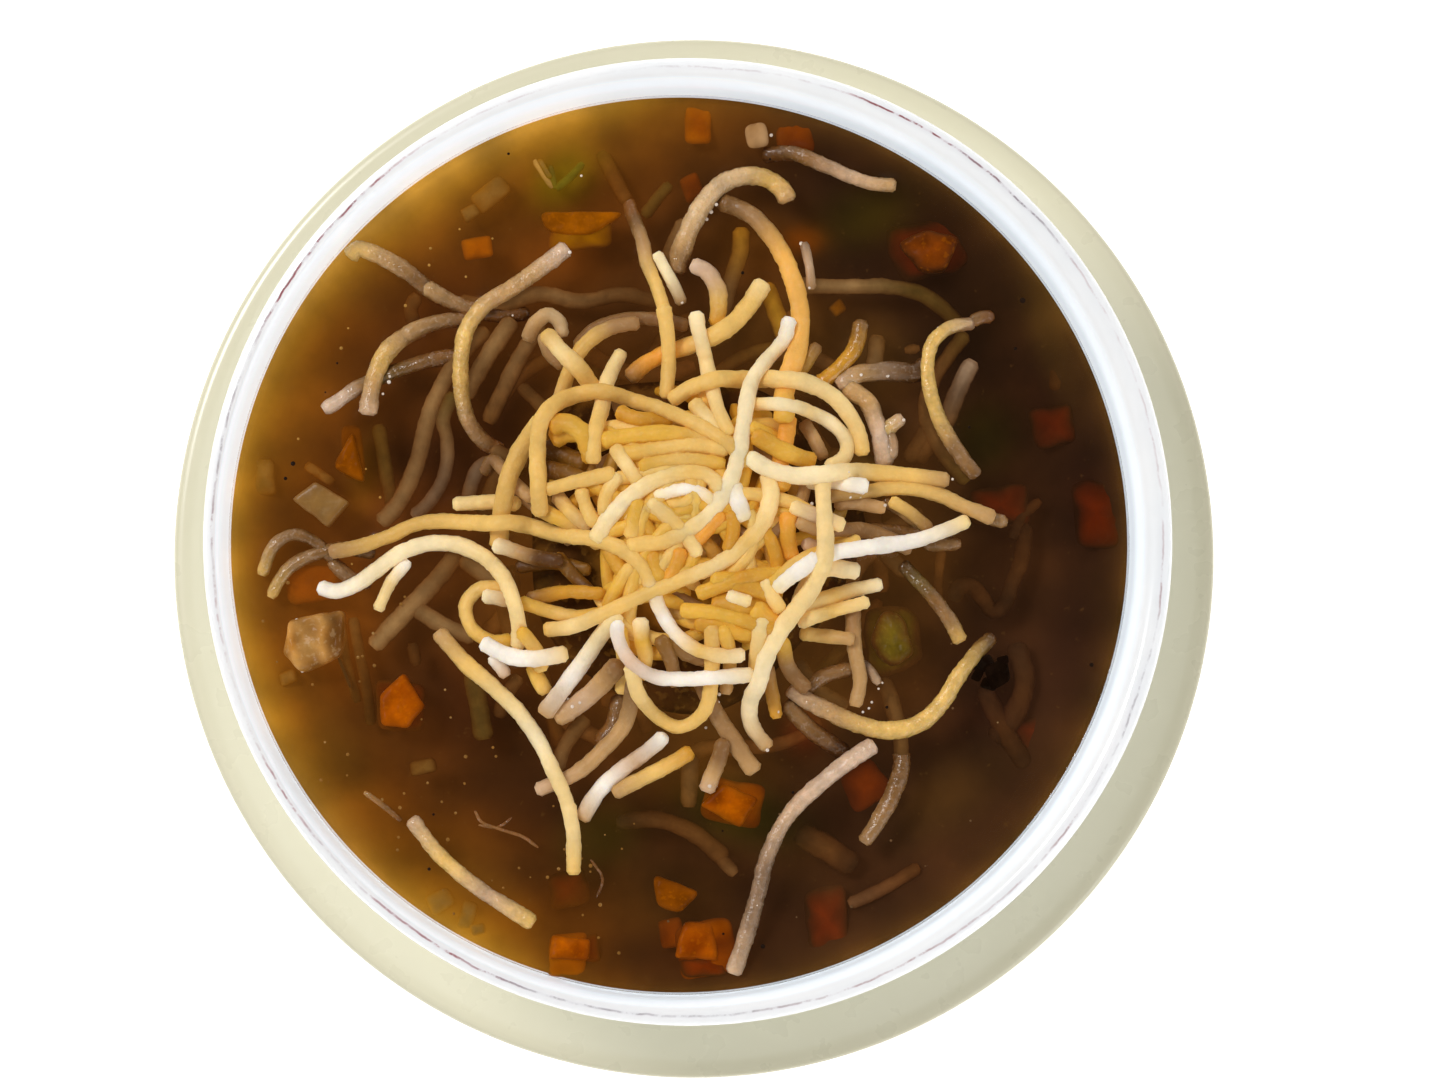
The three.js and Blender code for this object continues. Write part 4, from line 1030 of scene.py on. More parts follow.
# Strands of the mound, each laid on the ones before it: colours, radius and route
HEAP_THIN = 0.86
HEAP = [
    # Strands in the two darkest browns, here and further down, are painted shade in the dark gaps of the
    # mound
    ("earth bronze", 1.4, [(-19.4, 12.2), (-16.6, 10.9), (-13.6, 9.4)]),
    ("earth bronze", 1.4, [(-19.2, 9.0), (-16, 8.2), (-13.6, 7)]),
    ("toast gold", 1.25, [(-18.4, 14), (-15.6, 14.5), (-12.8, 13.7)]),
    ("toast amber toast", 1.6, [(3, -5.8), (7, -6.4), (11.5, -7.8)]),
    ("amber toast", 1.6, [(3.2, -8.8), (7.4, -9.4), (12.4, -10.4)]),
    ("toast orange", 1.5, [(8.6, -9.6), (11, -11.4), (13, -13)]),
    ("amber toast", 1.5, [(1, -11.2), (5, -12.2), (10, -13.6)]),
    ("bronze wet", 1.3, [(-2.2, -13.4), (0, -15.6), (2.8, -16.6)]),
    ("gold gold", 1.2, [(-9.6, 7.4), (-5.4, 8.2), (0, 8.8)]),
    ("toast amber", 1.4, [(7.8, 14.4), (10.6, 13.4), (13.4, 12)]),
    ("brown brown", 1.05, [(-15, 25.5), (-13, 27.8), (-9, 29.3), (-4, 29.4), (0, 28.5)]),
    ("amber toast", 1.5, [(-18.2, 12.8), (-16, 13.8), (-13, 13.2)]),
    ("tan brown", 1.1, [(-19.5, 27.5), (-18.5, 24.8), (-16.5, 23)]),
    ("toast brown", 1.1, [(13, 20), (15.5, 23), (17.5, 26)]),
    ("brown tan brown", 1.1, [(15.4, 15.6), (17, 13), (18.2, 10.5)]),
    ("gold brown", 1.1, [(27, 5), (29.5, 3.5), (32.5, 1)]),
    ("wet tan", 1.1, [(19.5, 4.5), (23, 4.5), (26.4, 3.8)]),
    ("brown wet", 1.1, [(18.5, 0.6), (24, 0.8), (30, -1.6)]),
    ("earth bronze", 1.05, [(-23, -4), (-18, -3.4), (-13, -4.6)]),
    ("bronze earth", 1.05, [(-17.6, -2.4), (-15.4, -5), (-12.5, -8)]),
    ("brown amber amber", 1.15, [(-21.5, -8.2), (-16, -7.4), (-11, -7.8)]),
    ("toast gold toast", 1.15, [(-22.5, -8.6), (-19, -9.8), (-15, -10.6), (-11, -10.4)]),
    ("amber toast gold", 1.15, [(-10.8, -9.8), (-9.3, -6.8), (-7.4, -4)]),
    ("toast gold gold", 1.15, [(-9, -12), (-8.4, -17), (-8.7, -21)]),
    ("pale toast gold amber", 1.15, [(-6.2, -10.9), (-6.1, -13.5), (-5.6, -16), (-6.4, -19)]),
    ("bronze wet", 1.1, [(-3.8, -13.4), (-2.4, -16), (-1.6, -20)]),
    ("amber toast", 1.15, [(4.9, -10.6), (6, -12.6), (8.8, -13.2)]),
    ("toast honey tan", 1.15, [(4.6, -12), (5.6, -16), (5, -21)]),
    ("white pink", 1.15, [(-26.3, -15.8), (-25, -17.4), (-24.2, -18.6)]),
    ("toast gold", 1.15, [(-21, -16.8), (-20, -18.8), (-18.9, -20.9)]),
    ("brown tan pink tan", 1.5, [(-9, -17), (-12, -20), (-15, -22.5), (-17.8, -24.2)]),
    ("toast wet brown", 1.2, [(12.4, -13.8), (13.5, -17.5), (16, -20.5)]),
    ("brown tan tan", 1.2, [(22, -9), (22.3, -15), (23, -19), (22.3, -22.6)]),
    ("gold tan", 1.15, [(15, -12.8), (18.5, -13.2), (22.2, -13.7)]),
    ("wet amber", 1.1, [(10.6, -17), (11.3, -21), (11.9, -24.2)]),
    ("brown wet wet tan", 1.35, [(1.5, -19), (3.5, -23), (6, -27), (9, -31.4)]),
    ("brown brown tan pink", 1.2, [(4.8, -27), (4.2, -29.4), (3.2, -31.8), (2.4, -34)]),
    ("dim tan tan pink", 1.2, [(-7, -19), (-8.5, -25), (-11.5, -28.5), (-15, -31.5), (-20.3, -33.8)]),
    ("amber gold tan", 1.2, [(0.6, -28.5), (-3, -30.6), (-7, -32.6), (-10, -34.2)]),
    ("wet dim", 1.1, [(-24, 7.5), (-20, 4), (-16, 2.5)]),
    ("brown brown wet tan tan", 1.15,
     [(-27.6, 8.6), (-26.3, 10.5), (-24.6, 9), (-22.8, 6.8), (-20.6, 5)], (1.4, 0.4)),
    ("amber toast amber", 1.55, [(-18.4, 14.6), (-16, 14.9), (-14, 13.5), (-13, 11.4), (-12.6, 9.6)]),
    ("toast toast gold", 1.3, [(-11.5, 12.5), (-8, 13.1), (-4, 13.4), (0, 13.1), (4.4, 12.1)]),
    ("amber amber", 1.2, [(-9.4, 16.6), (-6.6, 15.4), (-2, 15.6)]),
    ("toast gold gold", 1.25, [(-10, 10.8), (-6, 11), (-2, 11.6), (2, 11.8), (5.4, 11.2)]),
    ("toast gold toast", 1.2, [(-6.4, 8.9), (-2.6, 9.7), (1.6, 9.8), (5, 9.4)]),
    ("amber amber", 1.2, [(5.8, 3.2), (6, 0.4), (5.4, -2.4)]),
    ("orange orange", 1.15, [(4.8, 2.8), (2.9, 0.9), (1, -1)]),
    ("orange amber orange", 1.2, [(-0.8, -1.8), (-1.5, -4), (-2.6, -6.4)]),
    ("amber toast", 1.15, [(-4.8, -2.2), (-4.2, -4.4), (-3.6, -6.2)]),
    ("tan toast tan", 1.15, [(-20.6, 4.2), (-17.4, 2.4), (-13.5, 0.9)]),
    ("tan gold tan", 1.15, [(-17.6, 5.6), (-15.6, 3.2), (-13, 0.8)]),
    ("gold gold gold", 1.2, [(-14.2, 6.2), (-13.4, 3.6), (-12.2, 1.2)]),
    ("cream gold gold", 1.15, [(-9, 8), (-10.4, 6), (-11, 4.2), (-10.8, 2.4)]),
    ("toast toast gold", 1.2, [(-6.5, 4.8), (-7, 2.2), (-7.5, -0.6)]),
    ("orange orange amber", 1.25, [(13.4, 16.2), (13.1, 13.6), (12.4, 10.4), (12.6, 6)]),
    ("amber toast amber", 1.35, [(8.6, 13.4), (11, 12), (13.5, 10.8), (17, 9.9)]),
    ("orange amber orange", 1.3, [(13.4, 3), (13.2, 0), (13.9, -3.2)]),
    ("toast amber toast", 1.25, [(1.2, -7.9), (5, -6.6), (9, -5.4), (12.8, -5)]),
    ("toast toast amber", 1.25, [(-1, -9.9), (4, -10.4), (8.4, -11.6), (11.6, -12.6)]),
    ("tan wet", 1.15, [(14.4, 1.9), (16, 1.2), (17.8, 0.6)]),
    ("pink tan", 1.15, [(15.4, -1), (17, -1.6), (19, -3.4)]),
    ("gold cream", 1.25, [(17.4, -4.2), (15.8, -6.8), (14.6, -9.4)]),
    ("brown brown tan gold gold toast", 1.1,
     [(-8.2, 46), (-7.4, 43.4), (-6.3, 40.5), (-5.5, 37), (-4.3, 34), (-3.2, 30.5),
      (-2.7, 27)], (2.9, 0.0)),
    ("wet tan sand sand", 1.25,
     [(-21.6, 26.4), (-20.7, 28.6), (-18.8, 30), (-17.3, 29), (-16.8, 27)], (0.8, 0.0)),
    ("brown wet apricot apricot apricot apricot toast", 1.5,
     [(4.2, 45.4), (6, 44.9), (8.5, 43.5), (11, 40.8), (13, 37.5), (14.3, 34), (15, 30.5), (15, 27),
      (14.3, 24), (13.5, 21.8), (12.8, 18.5), (12.8, 15)], (2.4, 0.0)),
    # A thin pale strand beside the orange one: partly a painted wet highlight along its edge
    ("grey pink wet", 0.8, [(15.6, 39.8), (16.3, 36.5), (16.6, 33.4)]),
    ("rose pink honey amber", 1.3, [(0.4, 36.9), (2.5, 35.8), (3.9, 33.5), (4.1, 31), (3.7, 28.5)]),
    ("pale pale wet", 0.9, [(-4.3, 38.3), (-3, 36), (-1.8, 33.8), (-0.8, 31.4)]),
    ("cream gold gold gold gold orange orange brown", 1.45,
     [(10.2, 34.5), (8.3, 31.5), (6.3, 29), (4, 27.3), (0.5, 25.9), (-3, 24.8), (-6, 23.2), (-8, 21.3)]),
    ("gold gold gold", 1.2, [(-3.3, 31), (-2.7, 27), (-2.6, 23.5), (-2.9, 18.6)]),
    ("tan honey honey honey wet wet", 1.25,
     [(-17.6, 17.6), (-16.6, 20.4), (-15.4, 23.4), (-13.6, 26), (-10.6, 28), (-6.5, 28.8)]),
    ("honey cream honey honey", 1.4, [(-19.2, 27.6), (-17, 24.9), (-14.4, 22.3), (-12.2, 19.4)]),
    ("cream cream gold gold", 1.15,
     [(-8.8, 25.2), (-10.6, 21.5), (-11.5, 17), (-12.4, 12.8), (-12.5, 9.4)]),
    ("gold cream gold", 1.2, [(0.6, 18), (2.4, 15.8), (5.2, 12.8)]),
    ("pale cream cream gold", 1.15,
     [(1, 30.2), (1.5, 27.5), (2.2, 24.5), (3.1, 20.5), (4.1, 16.5), (5.6, 13.2)]),
    ("gold cream gold", 1.15, [(-9.8, 11.8), (-8.2, 9.4), (-6.4, 6.8)]),
    ("toast gold", 1.1, [(-22.4, 12), (-20.6, 15), (-17.6, 18)]),
    ("gold gold gold", 1.2, [(-19, 6), (-14, 7.2), (-9.6, 8.2)]),
    ("cream gold", 1.2, [(-31.5, 4.5), (-28, 4.7), (-25, 4.8), (-22.6, 4.4)]),
    ("honey honey gold", 1.4, [(-25.4, -1.5), (-24.9, 3), (-23.8, 8), (-22, 12), (-19.3, 15.5)]),
    ("pale tan earth earth", 1.15, [(-26, -1), (-23.6, -1.7), (-20, -2.9), (-16.5, -3.4)]),
    ("gold gold toast", 1.15,
     [(-24.5, -6.8), (-28, -6.9), (-29.7, -9), (-29, -12), (-26.5, -13.8), (-23.4, -13.7)]),
    ("pale tan", 1.15, [(-27.4, -7.8), (-25.6, -8.1), (-23.6, -8.6)]),
    ("cream cream white", 1.05, [(-41.5, -9.8), (-39.8, -6), (-37.4, -3)]),
    ("white pale pale cream cream cream", 1.2,
     [(-49.5, -6.5), (-47, -7.2), (-44, -6), (-41, -3.8), (-38, -1.8), (-34, -0.7), (-30, -1.2),
      (-27, -2.8), (-24.5, -5.5), (-23, -9), (-22.5, -12), (-22.7, -15)]),
    ("toast gold gold", 1.1, [(-22.3, -12.5), (-20.3, -15), (-19.4, -18)]),
    ("white white cream", 1.2, [(-27.5, -14), (-24, -15.8), (-20.5, -16.3), (-16, -15.5)]),
    ("cream gold cream", 1.2, [(-5.2, 4.4), (-3, 2.7), (-1, 0.8), (0.6, -1.2), (1.4, -2.9)]),
    ("cream gold gold honey", 1.2,
     [(-7.6, -17), (-6.5, -21), (-4, -24), (-1, -25.3), (2, -23.5), (3.1, -20), (3.2, -16), (3.3, -12)]),
    ("wet honey honey gold gold gold gold gold gold white gold pale", 1.2,
     [(-48, -2), (-44, -1.2), (-40, 0.2), (-36, 1.9), (-32, 2.2), (-27, 1.8), (-22, 1.7), (-17, 0.2),
      (-12, -0.6), (-8.5, -2), (-6, -4.4), (-4.6, -7.4), (-3.6, -10), (-1.6, -13), (1.4, -15.2),
      (4.4, -15.9), (7.6, -15.9)]),
    ("cream pale white tan", 1.35,
     [(-9, -10.4), (-11, -12.6), (-13.4, -15.8), (-16.2, -19.6), (-19.3, -23.8)]),
    ("white pink white tan", 1.2, [(-3, -26.5), (-6, -29), (-9.5, -31.5), (-12, -34), (-14.3, -37.7)]),
    ("tan gold cream pale cream cream gold", 1.25,
     [(-33.5, -12.5), (-30, -16.5), (-26, -20), (-22.5, -23.5), (-20, -27), (-18, -31), (-16.2, -35),
      (-15.3, -39), (-15.2, -45)]),
    ("cream gold", 1.2, [(9.8, -11), (9.4, -14.5), (9, -18)]),
    ("cream gold", 1.15, [(10, -6), (11.2, -8.2), (12.4, -10.2)]),
    ("gold toast gold toast", 1.2, [(23, -0.5), (20, -1.4), (15, -3.4), (11, -6.8)]),
    ("brown gold tan", 1.15, [(17, 5), (24, 6.2), (29, 6.7), (33, 6), (37, 4.2), (41, 2.5)]),
    ("cream pink cream", 1.2, [(13.6, 3.8), (17, 2.6), (20.8, 1.2)]),
    ("pale white", 1.2, [(15.8, 7.2), (18.4, 7.2), (21, 7), (24, 6.5)]),
    ("gold pale", 1.25, [(14.5, -4.5), (19.5, -4.3), (22.9, -4.6)]),
    ("cream gold pale", 1.2, [(14, -10), (19, -8), (23, -6.8), (26, -6.2)]),
    ("cream gold cream", 1.15, [(14.6, -11.6), (19, -10), (24.2, -8.6)]),
    ("gold pale cream pale cream cream", 1.1,
     [(8.4, 17.7), (12, 17.4), (16, 16.8), (19.5, 15.2), (21.3, 12.8), (20.8, 10.6), (18.5, 9.2)]),
    ("gold gold gold cream cream gold", 1.3,
     [(-2.4, 18), (0, 19.6), (4, 20.9), (8, 21.2), (12, 21), (16, 20.5), (19.5, 18.8), (21.8, 16.2),
      (23, 13.6), (23.4, 11)]),
    ("honey gold honey honey gold honey", 1.25,
     [(-19.5, 2.5), (-19.8, 7), (-19.9, 12), (-19.2, 15.5), (-16.6, 18.2), (-12, 19.3), (-7.6, 18.3),
      (-3, 16.6), (1, 14.8), (5, 12.4), (8.4, 9.4)]),
    ("white white white cream", 1.2,
     [(17, -3.4), (19.3, -2.3), (23, -1.7), (27, -1), (31, -0.3), (34, 0.8), (37.5, 2.3)]),
    ("pale white white", 1.3, [(11.4, -7.2), (14, -5.2), (17.4, -3)]),
    ("gold cream gold gold gold cream gold cream cream", 1.25,
     [(-19.2, -12.4), (-15, -11.9), (-10, -9.9), (-5, -7.6), (0, -5.6), (4, -3.9), (7.4, -1.4), (9.9, 1.6),
      (11, 5), (10.6, 8.4)]),
    ("white rose white white pale", 1.15,
     [(-9.3, -11.3), (-9.2, -13.6), (-7.6, -16.6), (-4.6, -18.6), (0, -19), (5, -18.7), (8.8, -18.4)]),
    ("cream cream cream cream pale pale tan", 1.3,
     [(17.9, 8), (18, 4), (18.2, 0), (18, -3.4), (16.6, -6.8), (14.2, -10), (11.8, -13.4), (10.3, -16.4),
      (9.4, -19.6), (8.3, -22), (8.5, -25), (10.8, -28.2)]),
    # A short pale stub: a painted highlight over the bright spot of the strand beneath
    ("pale white pale", 1.3, [(5.9, 6.9), (6.7, 4.2), (7.6, 1.8)]),
    ("pale pale pale cream gold gold tan", 1.3,
     [(7.8, 10.4), (10.4, 8.9), (14, 7.9), (18, 8.1), (22, 8.7), (26, 8.6), (30, 8.3), (35, 7.7)]),
    ("cream pale cream gold cream", 1.3,
     [(-12.3, -0.9), (-10.2, 2.4), (-7.4, 5.2), (-4, 7.3), (0, 8.3), (3, 7.6), (5, 5.4)]),
    ("pale white cream", 1.05, [(-4.4, 5), (-1.6, 5.9), (1.2, 5.9), (3.6, 4)]),
    ("white pale pale pale pale pale pale cream gold gold", 1.25,
     [(13.7, 29.5), (12.8, 26.5), (10.4, 23.6), (8.5, 20.6), (7.8, 17.4), (7.3, 14), (6.8, 10.6),
      (5.4, 6.6), (3.2, 3), (0.4, 0.8), (-3.5, -0.9), (-8, -1.4)]),
    ("pale cream", 1.2, [(5.2, -7.9), (6.8, -8.5), (8.4, -8.9)]),
]

# The loose noodles that are nodes of their own
LOOSE = {
    "noodle_wall_left": (
        "gold tan brown brown", 1.1,
        [(-46.2, 38.2), (-44.5, 39), (-41.5, 38), (-38, 36), (-35.5, 34), (-32.5, 32.2)],
    ),
    "noodle_left": (
        "pink tan honey tan wet", 1.15,
        [(-43, 16.5), (-42.6, 19.5), (-41.8, 22.5), (-40.5, 25), (-38, 27.3), (-35.5, 28.5)],
    ),
    "noodle_upper_left": (
        "rose tan tan gold honey wet brown", 1.15,
        [(-16.2, 39.2), (-20, 36.3), (-24, 33.5), (-27.5, 31.3), (-29.8, 28), (-30.5, 24.5), (-30.5, 20.5),
         (-29.8, 16.5), (-27.8, 13.4), (-25, 11.6)],
    ),
    "noodle_top_arc": (
        "wet tan sand sand sand honey tan", 1.38,
        [(-1.7, 35.8), (-1, 38.5), (0.3, 41.8), (2, 45), (4.5, 47.7), (7.5, 48.8), (10.5, 48.5),
         (12.8, 46.8), (13.5, 45.3)],
    ),
    "noodle_top": (
        "tan pink brown dim", 1.05,
        [(28, 47.5), (24, 48), (19, 50), (14, 52), (10, 52)],
    ),
    "noodle_right_arc": (
        "pink gold gold gold wet brown", 0.98,
        [(38.5, 29), (35.5, 28.5), (33, 26.5), (32.2, 23.5), (32.5, 20), (33.5, 16.5), (35, 13.5),
         (37, 10.5), (38.8, 8.2)],
    ),
    "noodle_right": (
        "dim olive brown wet honey", 0.98,
        [(28.6, -3.4), (30.5, -5.4), (33, -8.2), (35, -11), (36.6, -14)],
    ),
    "noodle_lower_right": (
        "pink tan gold gold gold dim", 1.15,
        [(13.5, -20), (15.5, -21.5), (19, -23.3), (23, -25), (27, -25.8), (31, -24.8), (34, -22),
         (36.5, -18), (39, -15), (41, -13)],
    ),
    "noodle_bottom_short": (
        "brown brown brown wet wet", 1.1,
        [(28.6, -28.5), (28.5, -31), (27, -35), (25, -38.5), (23.4, -40.8)],
    ),
    "noodle_bottom": (
        "rose rose pink grey grey pink", 1.15,
        [(25, -27.6), (22, -29.5), (17.5, -33), (13.5, -37), (10.8, -42), (9.5, -47), (7.8, -53),
         (6, -58.2)],
    ),
    "noodle_lower_left": (
        "pink gold pink gold", 1.1,
        [(-37, -37.5), (-33.5, -42), (-29, -46), (-24.5, -49), (-20.5, -51.5)],
    ),
}
LOOSE_FLOAT = -0.1

# How far the ends of the loose noodles go down into the soup, where another one goes on from them
SINKING_ENDS = {
    "noodle_wall_left": (0.0, 1.7), "noodle_left": (0.0, 1.7), "noodle_upper_left": (0.0, 2.0),
    "noodle_top_arc": (1.2, 0.0), "noodle_top": (0.0, 1.9), "noodle_right_arc": (1.1, 0.3),
    "noodle_right": (0.7, 0.0), "noodle_lower_right": (0.3, 1.6), "noodle_bottom_short": (1.2, 0.2),
    "noodle_lower_left": (0.3, 0.0),
}


def make_noodles():
    fried = noodle_material("fried_noodle")
    soaked = soaked_material("soaked_noodle")
    sunk, afloat = Shape(), Shape()
    for number, (name, (tones, radius, route)) in enumerate(LOOSE.items()):
        loose = Shape()
        strand(loose, route, radius, tones, float_height=LOOSE_FLOAT, seed=number + 80, sides=16, step=0.4,
               wetness=0.3, sink=SINKING_ENDS.get(name, (0.0, 0.0)))
        loose.piece("soaked_" + name, soaked, "soaked_noodle", [name])
    faint_strands(sunk)
    for number, (tones, radius, heights, route) in enumerate(SUNK):
        deep = max(heights) < -1.1
        strand(sunk if deep else afloat, route, radius, tones, heights, seed=number + 1, sides=12, step=0.6,
               wetness=0.3, sunk=deep)
    sunk.piece("sunk_noodles", sunk_material("sunk_noodle", 400, 0.14), "soaked_noodle")
    afloat.piece("floating_noodles", soaked, "soaked_noodle")
    under = Shape()
    filler_strands(under)
    under.piece("lower_noodles", fried, "fried_noodle")
    heap = Shape()
    for number, (tones, radius, route, *sink) in enumerate(HEAP):
        strand(heap, route, HEAP_THIN * radius, tones, float_height=0.35 * radius, seed=number + 120,
               sink=sink[0] if sink else (0.0, 0.0))
    heap.piece("fried_noodles", fried, "fried_noodle", ["noodle_heap"])


# Soup

def disc_grid(cells):
    """Points of a square grid bent into a disc of radius 1, and its faces."""
    a = np.linspace(-1, 1, cells + 1)
    u, v = np.meshgrid(a, a)
    wide = np.abs(u) > np.abs(v)
    radius = np.where(wide, u, v)
    with np.errstate(divide="ignore", invalid="ignore"):
        turn = np.where(wide, math.pi / 4 * v / u, math.pi / 2 - math.pi / 4 * u / v)
    turn = np.nan_to_num(turn)
    points = np.stack([radius * np.cos(turn), radius * np.sin(turn)], axis=-1).reshape(-1, 2)
    row = cells + 1
    faces = [
        (i * row + j, i * row + j + 1, (i + 1) * row + j + 1, (i + 1) * row + j)
        for i in range(cells) for j in range(cells)
    ]
    edge = (
        list(range(cells))
        + [i * row + cells for i in range(cells)]
        + [cells * row + cells - j for j in range(cells)]
        + [(cells - i) * row for i in range(cells)]
    )
    return points, faces, edge


def closed_below(points, faces, edge, tip):
    """A disc closed by faces from its edge to one point below it."""
    fan = [(edge[i], len(points), edge[(i + 1) % len(edge)]) for i in range(len(edge))]
    return np.concatenate([points, [tip]]), faces + fan


def over_soup(flat, radius):
    """Places on the soup of a disc's points, and how far they lie inside the disc's edge."""
    inward = radius - np.hypot(flat[:, 0], flat[:, 1]) * radius
    return flat[:, 0] * radius + SOUP_CENTRE[0], flat[:, 1] * radius + SOUP_CENTRE[1], inward


DEPTH_CELLS, TOP_CELLS, CORE_CELLS = 120, 300, 60
SOUP_WALL_GAP = 0.3
SOUP_DISH_DEPTH = 6.5
SOUP_DISH_SLOPE = 16
MENISCUS_RISE = 0.16
MENISCUS_WIDTH = 0.6
WALL_RISE = 0.08


def sampled(field, x, y):
    """A value of the fine grid at any place, by its four nearest cells."""
    fx = np.clip((x + HALF) / CELL, 0, CELLS - 1.001)
    fy = np.clip((y + HALF) / CELL, 0, CELLS - 1.001)
    ix, iy = fx.astype(int), fy.astype(int)
    sx, sy = fx - ix, fy - iy
    low = field[iy, ix] * (1 - sx) + field[iy, ix + 1] * sx
    high = field[iy + 1, ix] * (1 - sx) + field[iy + 1, ix + 1] * sx
    return low * (1 - sy) + high * sy


def make_soup_depth():
    """The soup's body, which fills the bowl's hollow and is dished a little at its top."""
    flat, faces, edge = disc_grid(DEPTH_CELLS)
    x, y, inward = over_soup(flat, SOUP_RADIUS)
    z = SOUP_TOP - 0.05 - SOUP_DISH_DEPTH * smooth_step(-2, SOUP_DISH_SLOPE, inward)
    around = flat[edge]
    around = around / np.linalg.norm(around, axis=1)[:, None]
    points, count = [np.stack([x, y, z], axis=1)], len(flat)
    previous = list(edge)
    for radius, height in hollow_line()[-2:0:-1]:
        points.append(np.column_stack([
            around * (radius - SOUP_WALL_GAP) + SOUP_CENTRE,
            np.full(len(around), height + SOUP_WALL_GAP + BOWL_BASE),
        ]))
        current = list(range(count, count + len(around)))
        for i in range(len(around)):
            j = (i + 1) % len(around)
            faces.append((previous[i], current[i], current[j], previous[j]))
        count += len(around)
        previous = current
    bottom = (*SOUP_CENTRE, BOWL_FLOOR + SOUP_WALL_GAP + BOWL_BASE)
    points, faces = closed_below(np.concatenate(points), faces, previous, bottom)
    body = Shape()
    body.add(points, faces, soup_tone(points[:, 0], points[:, 1]), 0.0)
    body.piece("soup_depth", deep_soup_material(), "soup", ["soup"])


def make_soup_top():
    """The soup's glossy top, which climbs the wall and the pieces that break it."""
    flat, faces, edge = disc_grid(TOP_CELLS)
    x, y, wall_gap = over_soup(flat, SOUP_RADIUS + 0.25)
    patchy = np.array([0.55 + 1.1 * noise.noise(Vector((a * 0.3, b * 0.3, 4.2))) for a, b in zip(x, y)])
    from_shore = np.clip(sampled(shore, x, y), 0, None)
    rise = MENISCUS_RISE * np.clip(patchy, 0.1, 1.4) * np.exp(-from_shore / MENISCUS_WIDTH)
    rise = np.maximum(rise, WALL_RISE * np.exp(-wall_gap / MENISCUS_WIDTH))
    points = np.column_stack([x, y, SOUP_TOP + rise])
    points, faces = closed_below(points, faces, edge, (*SOUP_CENTRE, SOUP_TOP - 1.0))
    surface = Shape()
    surface.add(points, faces, (1.0, 1.0, 1.0), 1.0)
    surface.piece("soup_top", soup_surface_material(), "soup")


# Painted light and shade on the core: lit colour in its middle, shaded colour out to its edge, and painted
# shade round the dark gaps
CORE_LIT, CORE_SHADED = 9, 15
CORE_LIT_COLOR, CORE_SHADED_COLOR = linear(184, 124, 40), linear(86, 52, 22)
HOLE_SHADE = 0.4
CORE_DROP = 2


def make_core():
    """Wet middle of the mound, which shows only in the gaps between strands, with painted light in its
    middle and painted shade at its edge and in the gaps.
    """
    core = Shape()
    flat, faces, edge = disc_grid(CORE_CELLS)
    x, y = flat[:, 0] * CORE_RADIUS, flat[:, 1] * CORE_RADIUS
    stretch = unevenness(np.arctan2(y, x))
    x, y = x * stretch, y * stretch
    away = np.hypot(flat[:, 0], flat[:, 1])
    z = SOUP_TOP + (CORE_RISE + CORE_DROP) * (1 - away ** 2) - CORE_DROP
    bumps = np.array([noise.noise(Vector((a * 0.35, b * 0.35, 1.7))) for a, b in zip(x, y)])
    points = np.column_stack([x, y, z + 0.5 * bumps])
    points, faces = closed_below(points, faces, edge, (0, 0, SOUP_TOP - 3.4))
    x, y = points[:, 0], points[:, 1]
    lit = 1 - smooth_step(CORE_LIT, CORE_SHADED, np.hypot(x, y))
    base = CORE_SHADED_COLOR + lit[:, None] * (CORE_LIT_COLOR - CORE_SHADED_COLOR)
    for hole_x, hole_y, radius in HOLES:
        near = np.exp(-((np.hypot(x - hole_x, y - hole_y) / radius) ** 2))
        base = base * (1 - HOLE_SHADE * near)[:, None]
    base = base * (1 + 0.5 * np.append(bumps, 0))[:, None]
    core.add(points, faces, murk(points, base), 0.0)
    finish = food_material("noodle_core", 260, 0.3, dry=0.9, fleck=linear(160, 112, 46), glow=CORE_GLOW,
                           light=0.7)
    core.piece("noodle_core", finish.set(Specular_IOR_Level=0.0).material, "fried_noodle")


# Cut vegetables

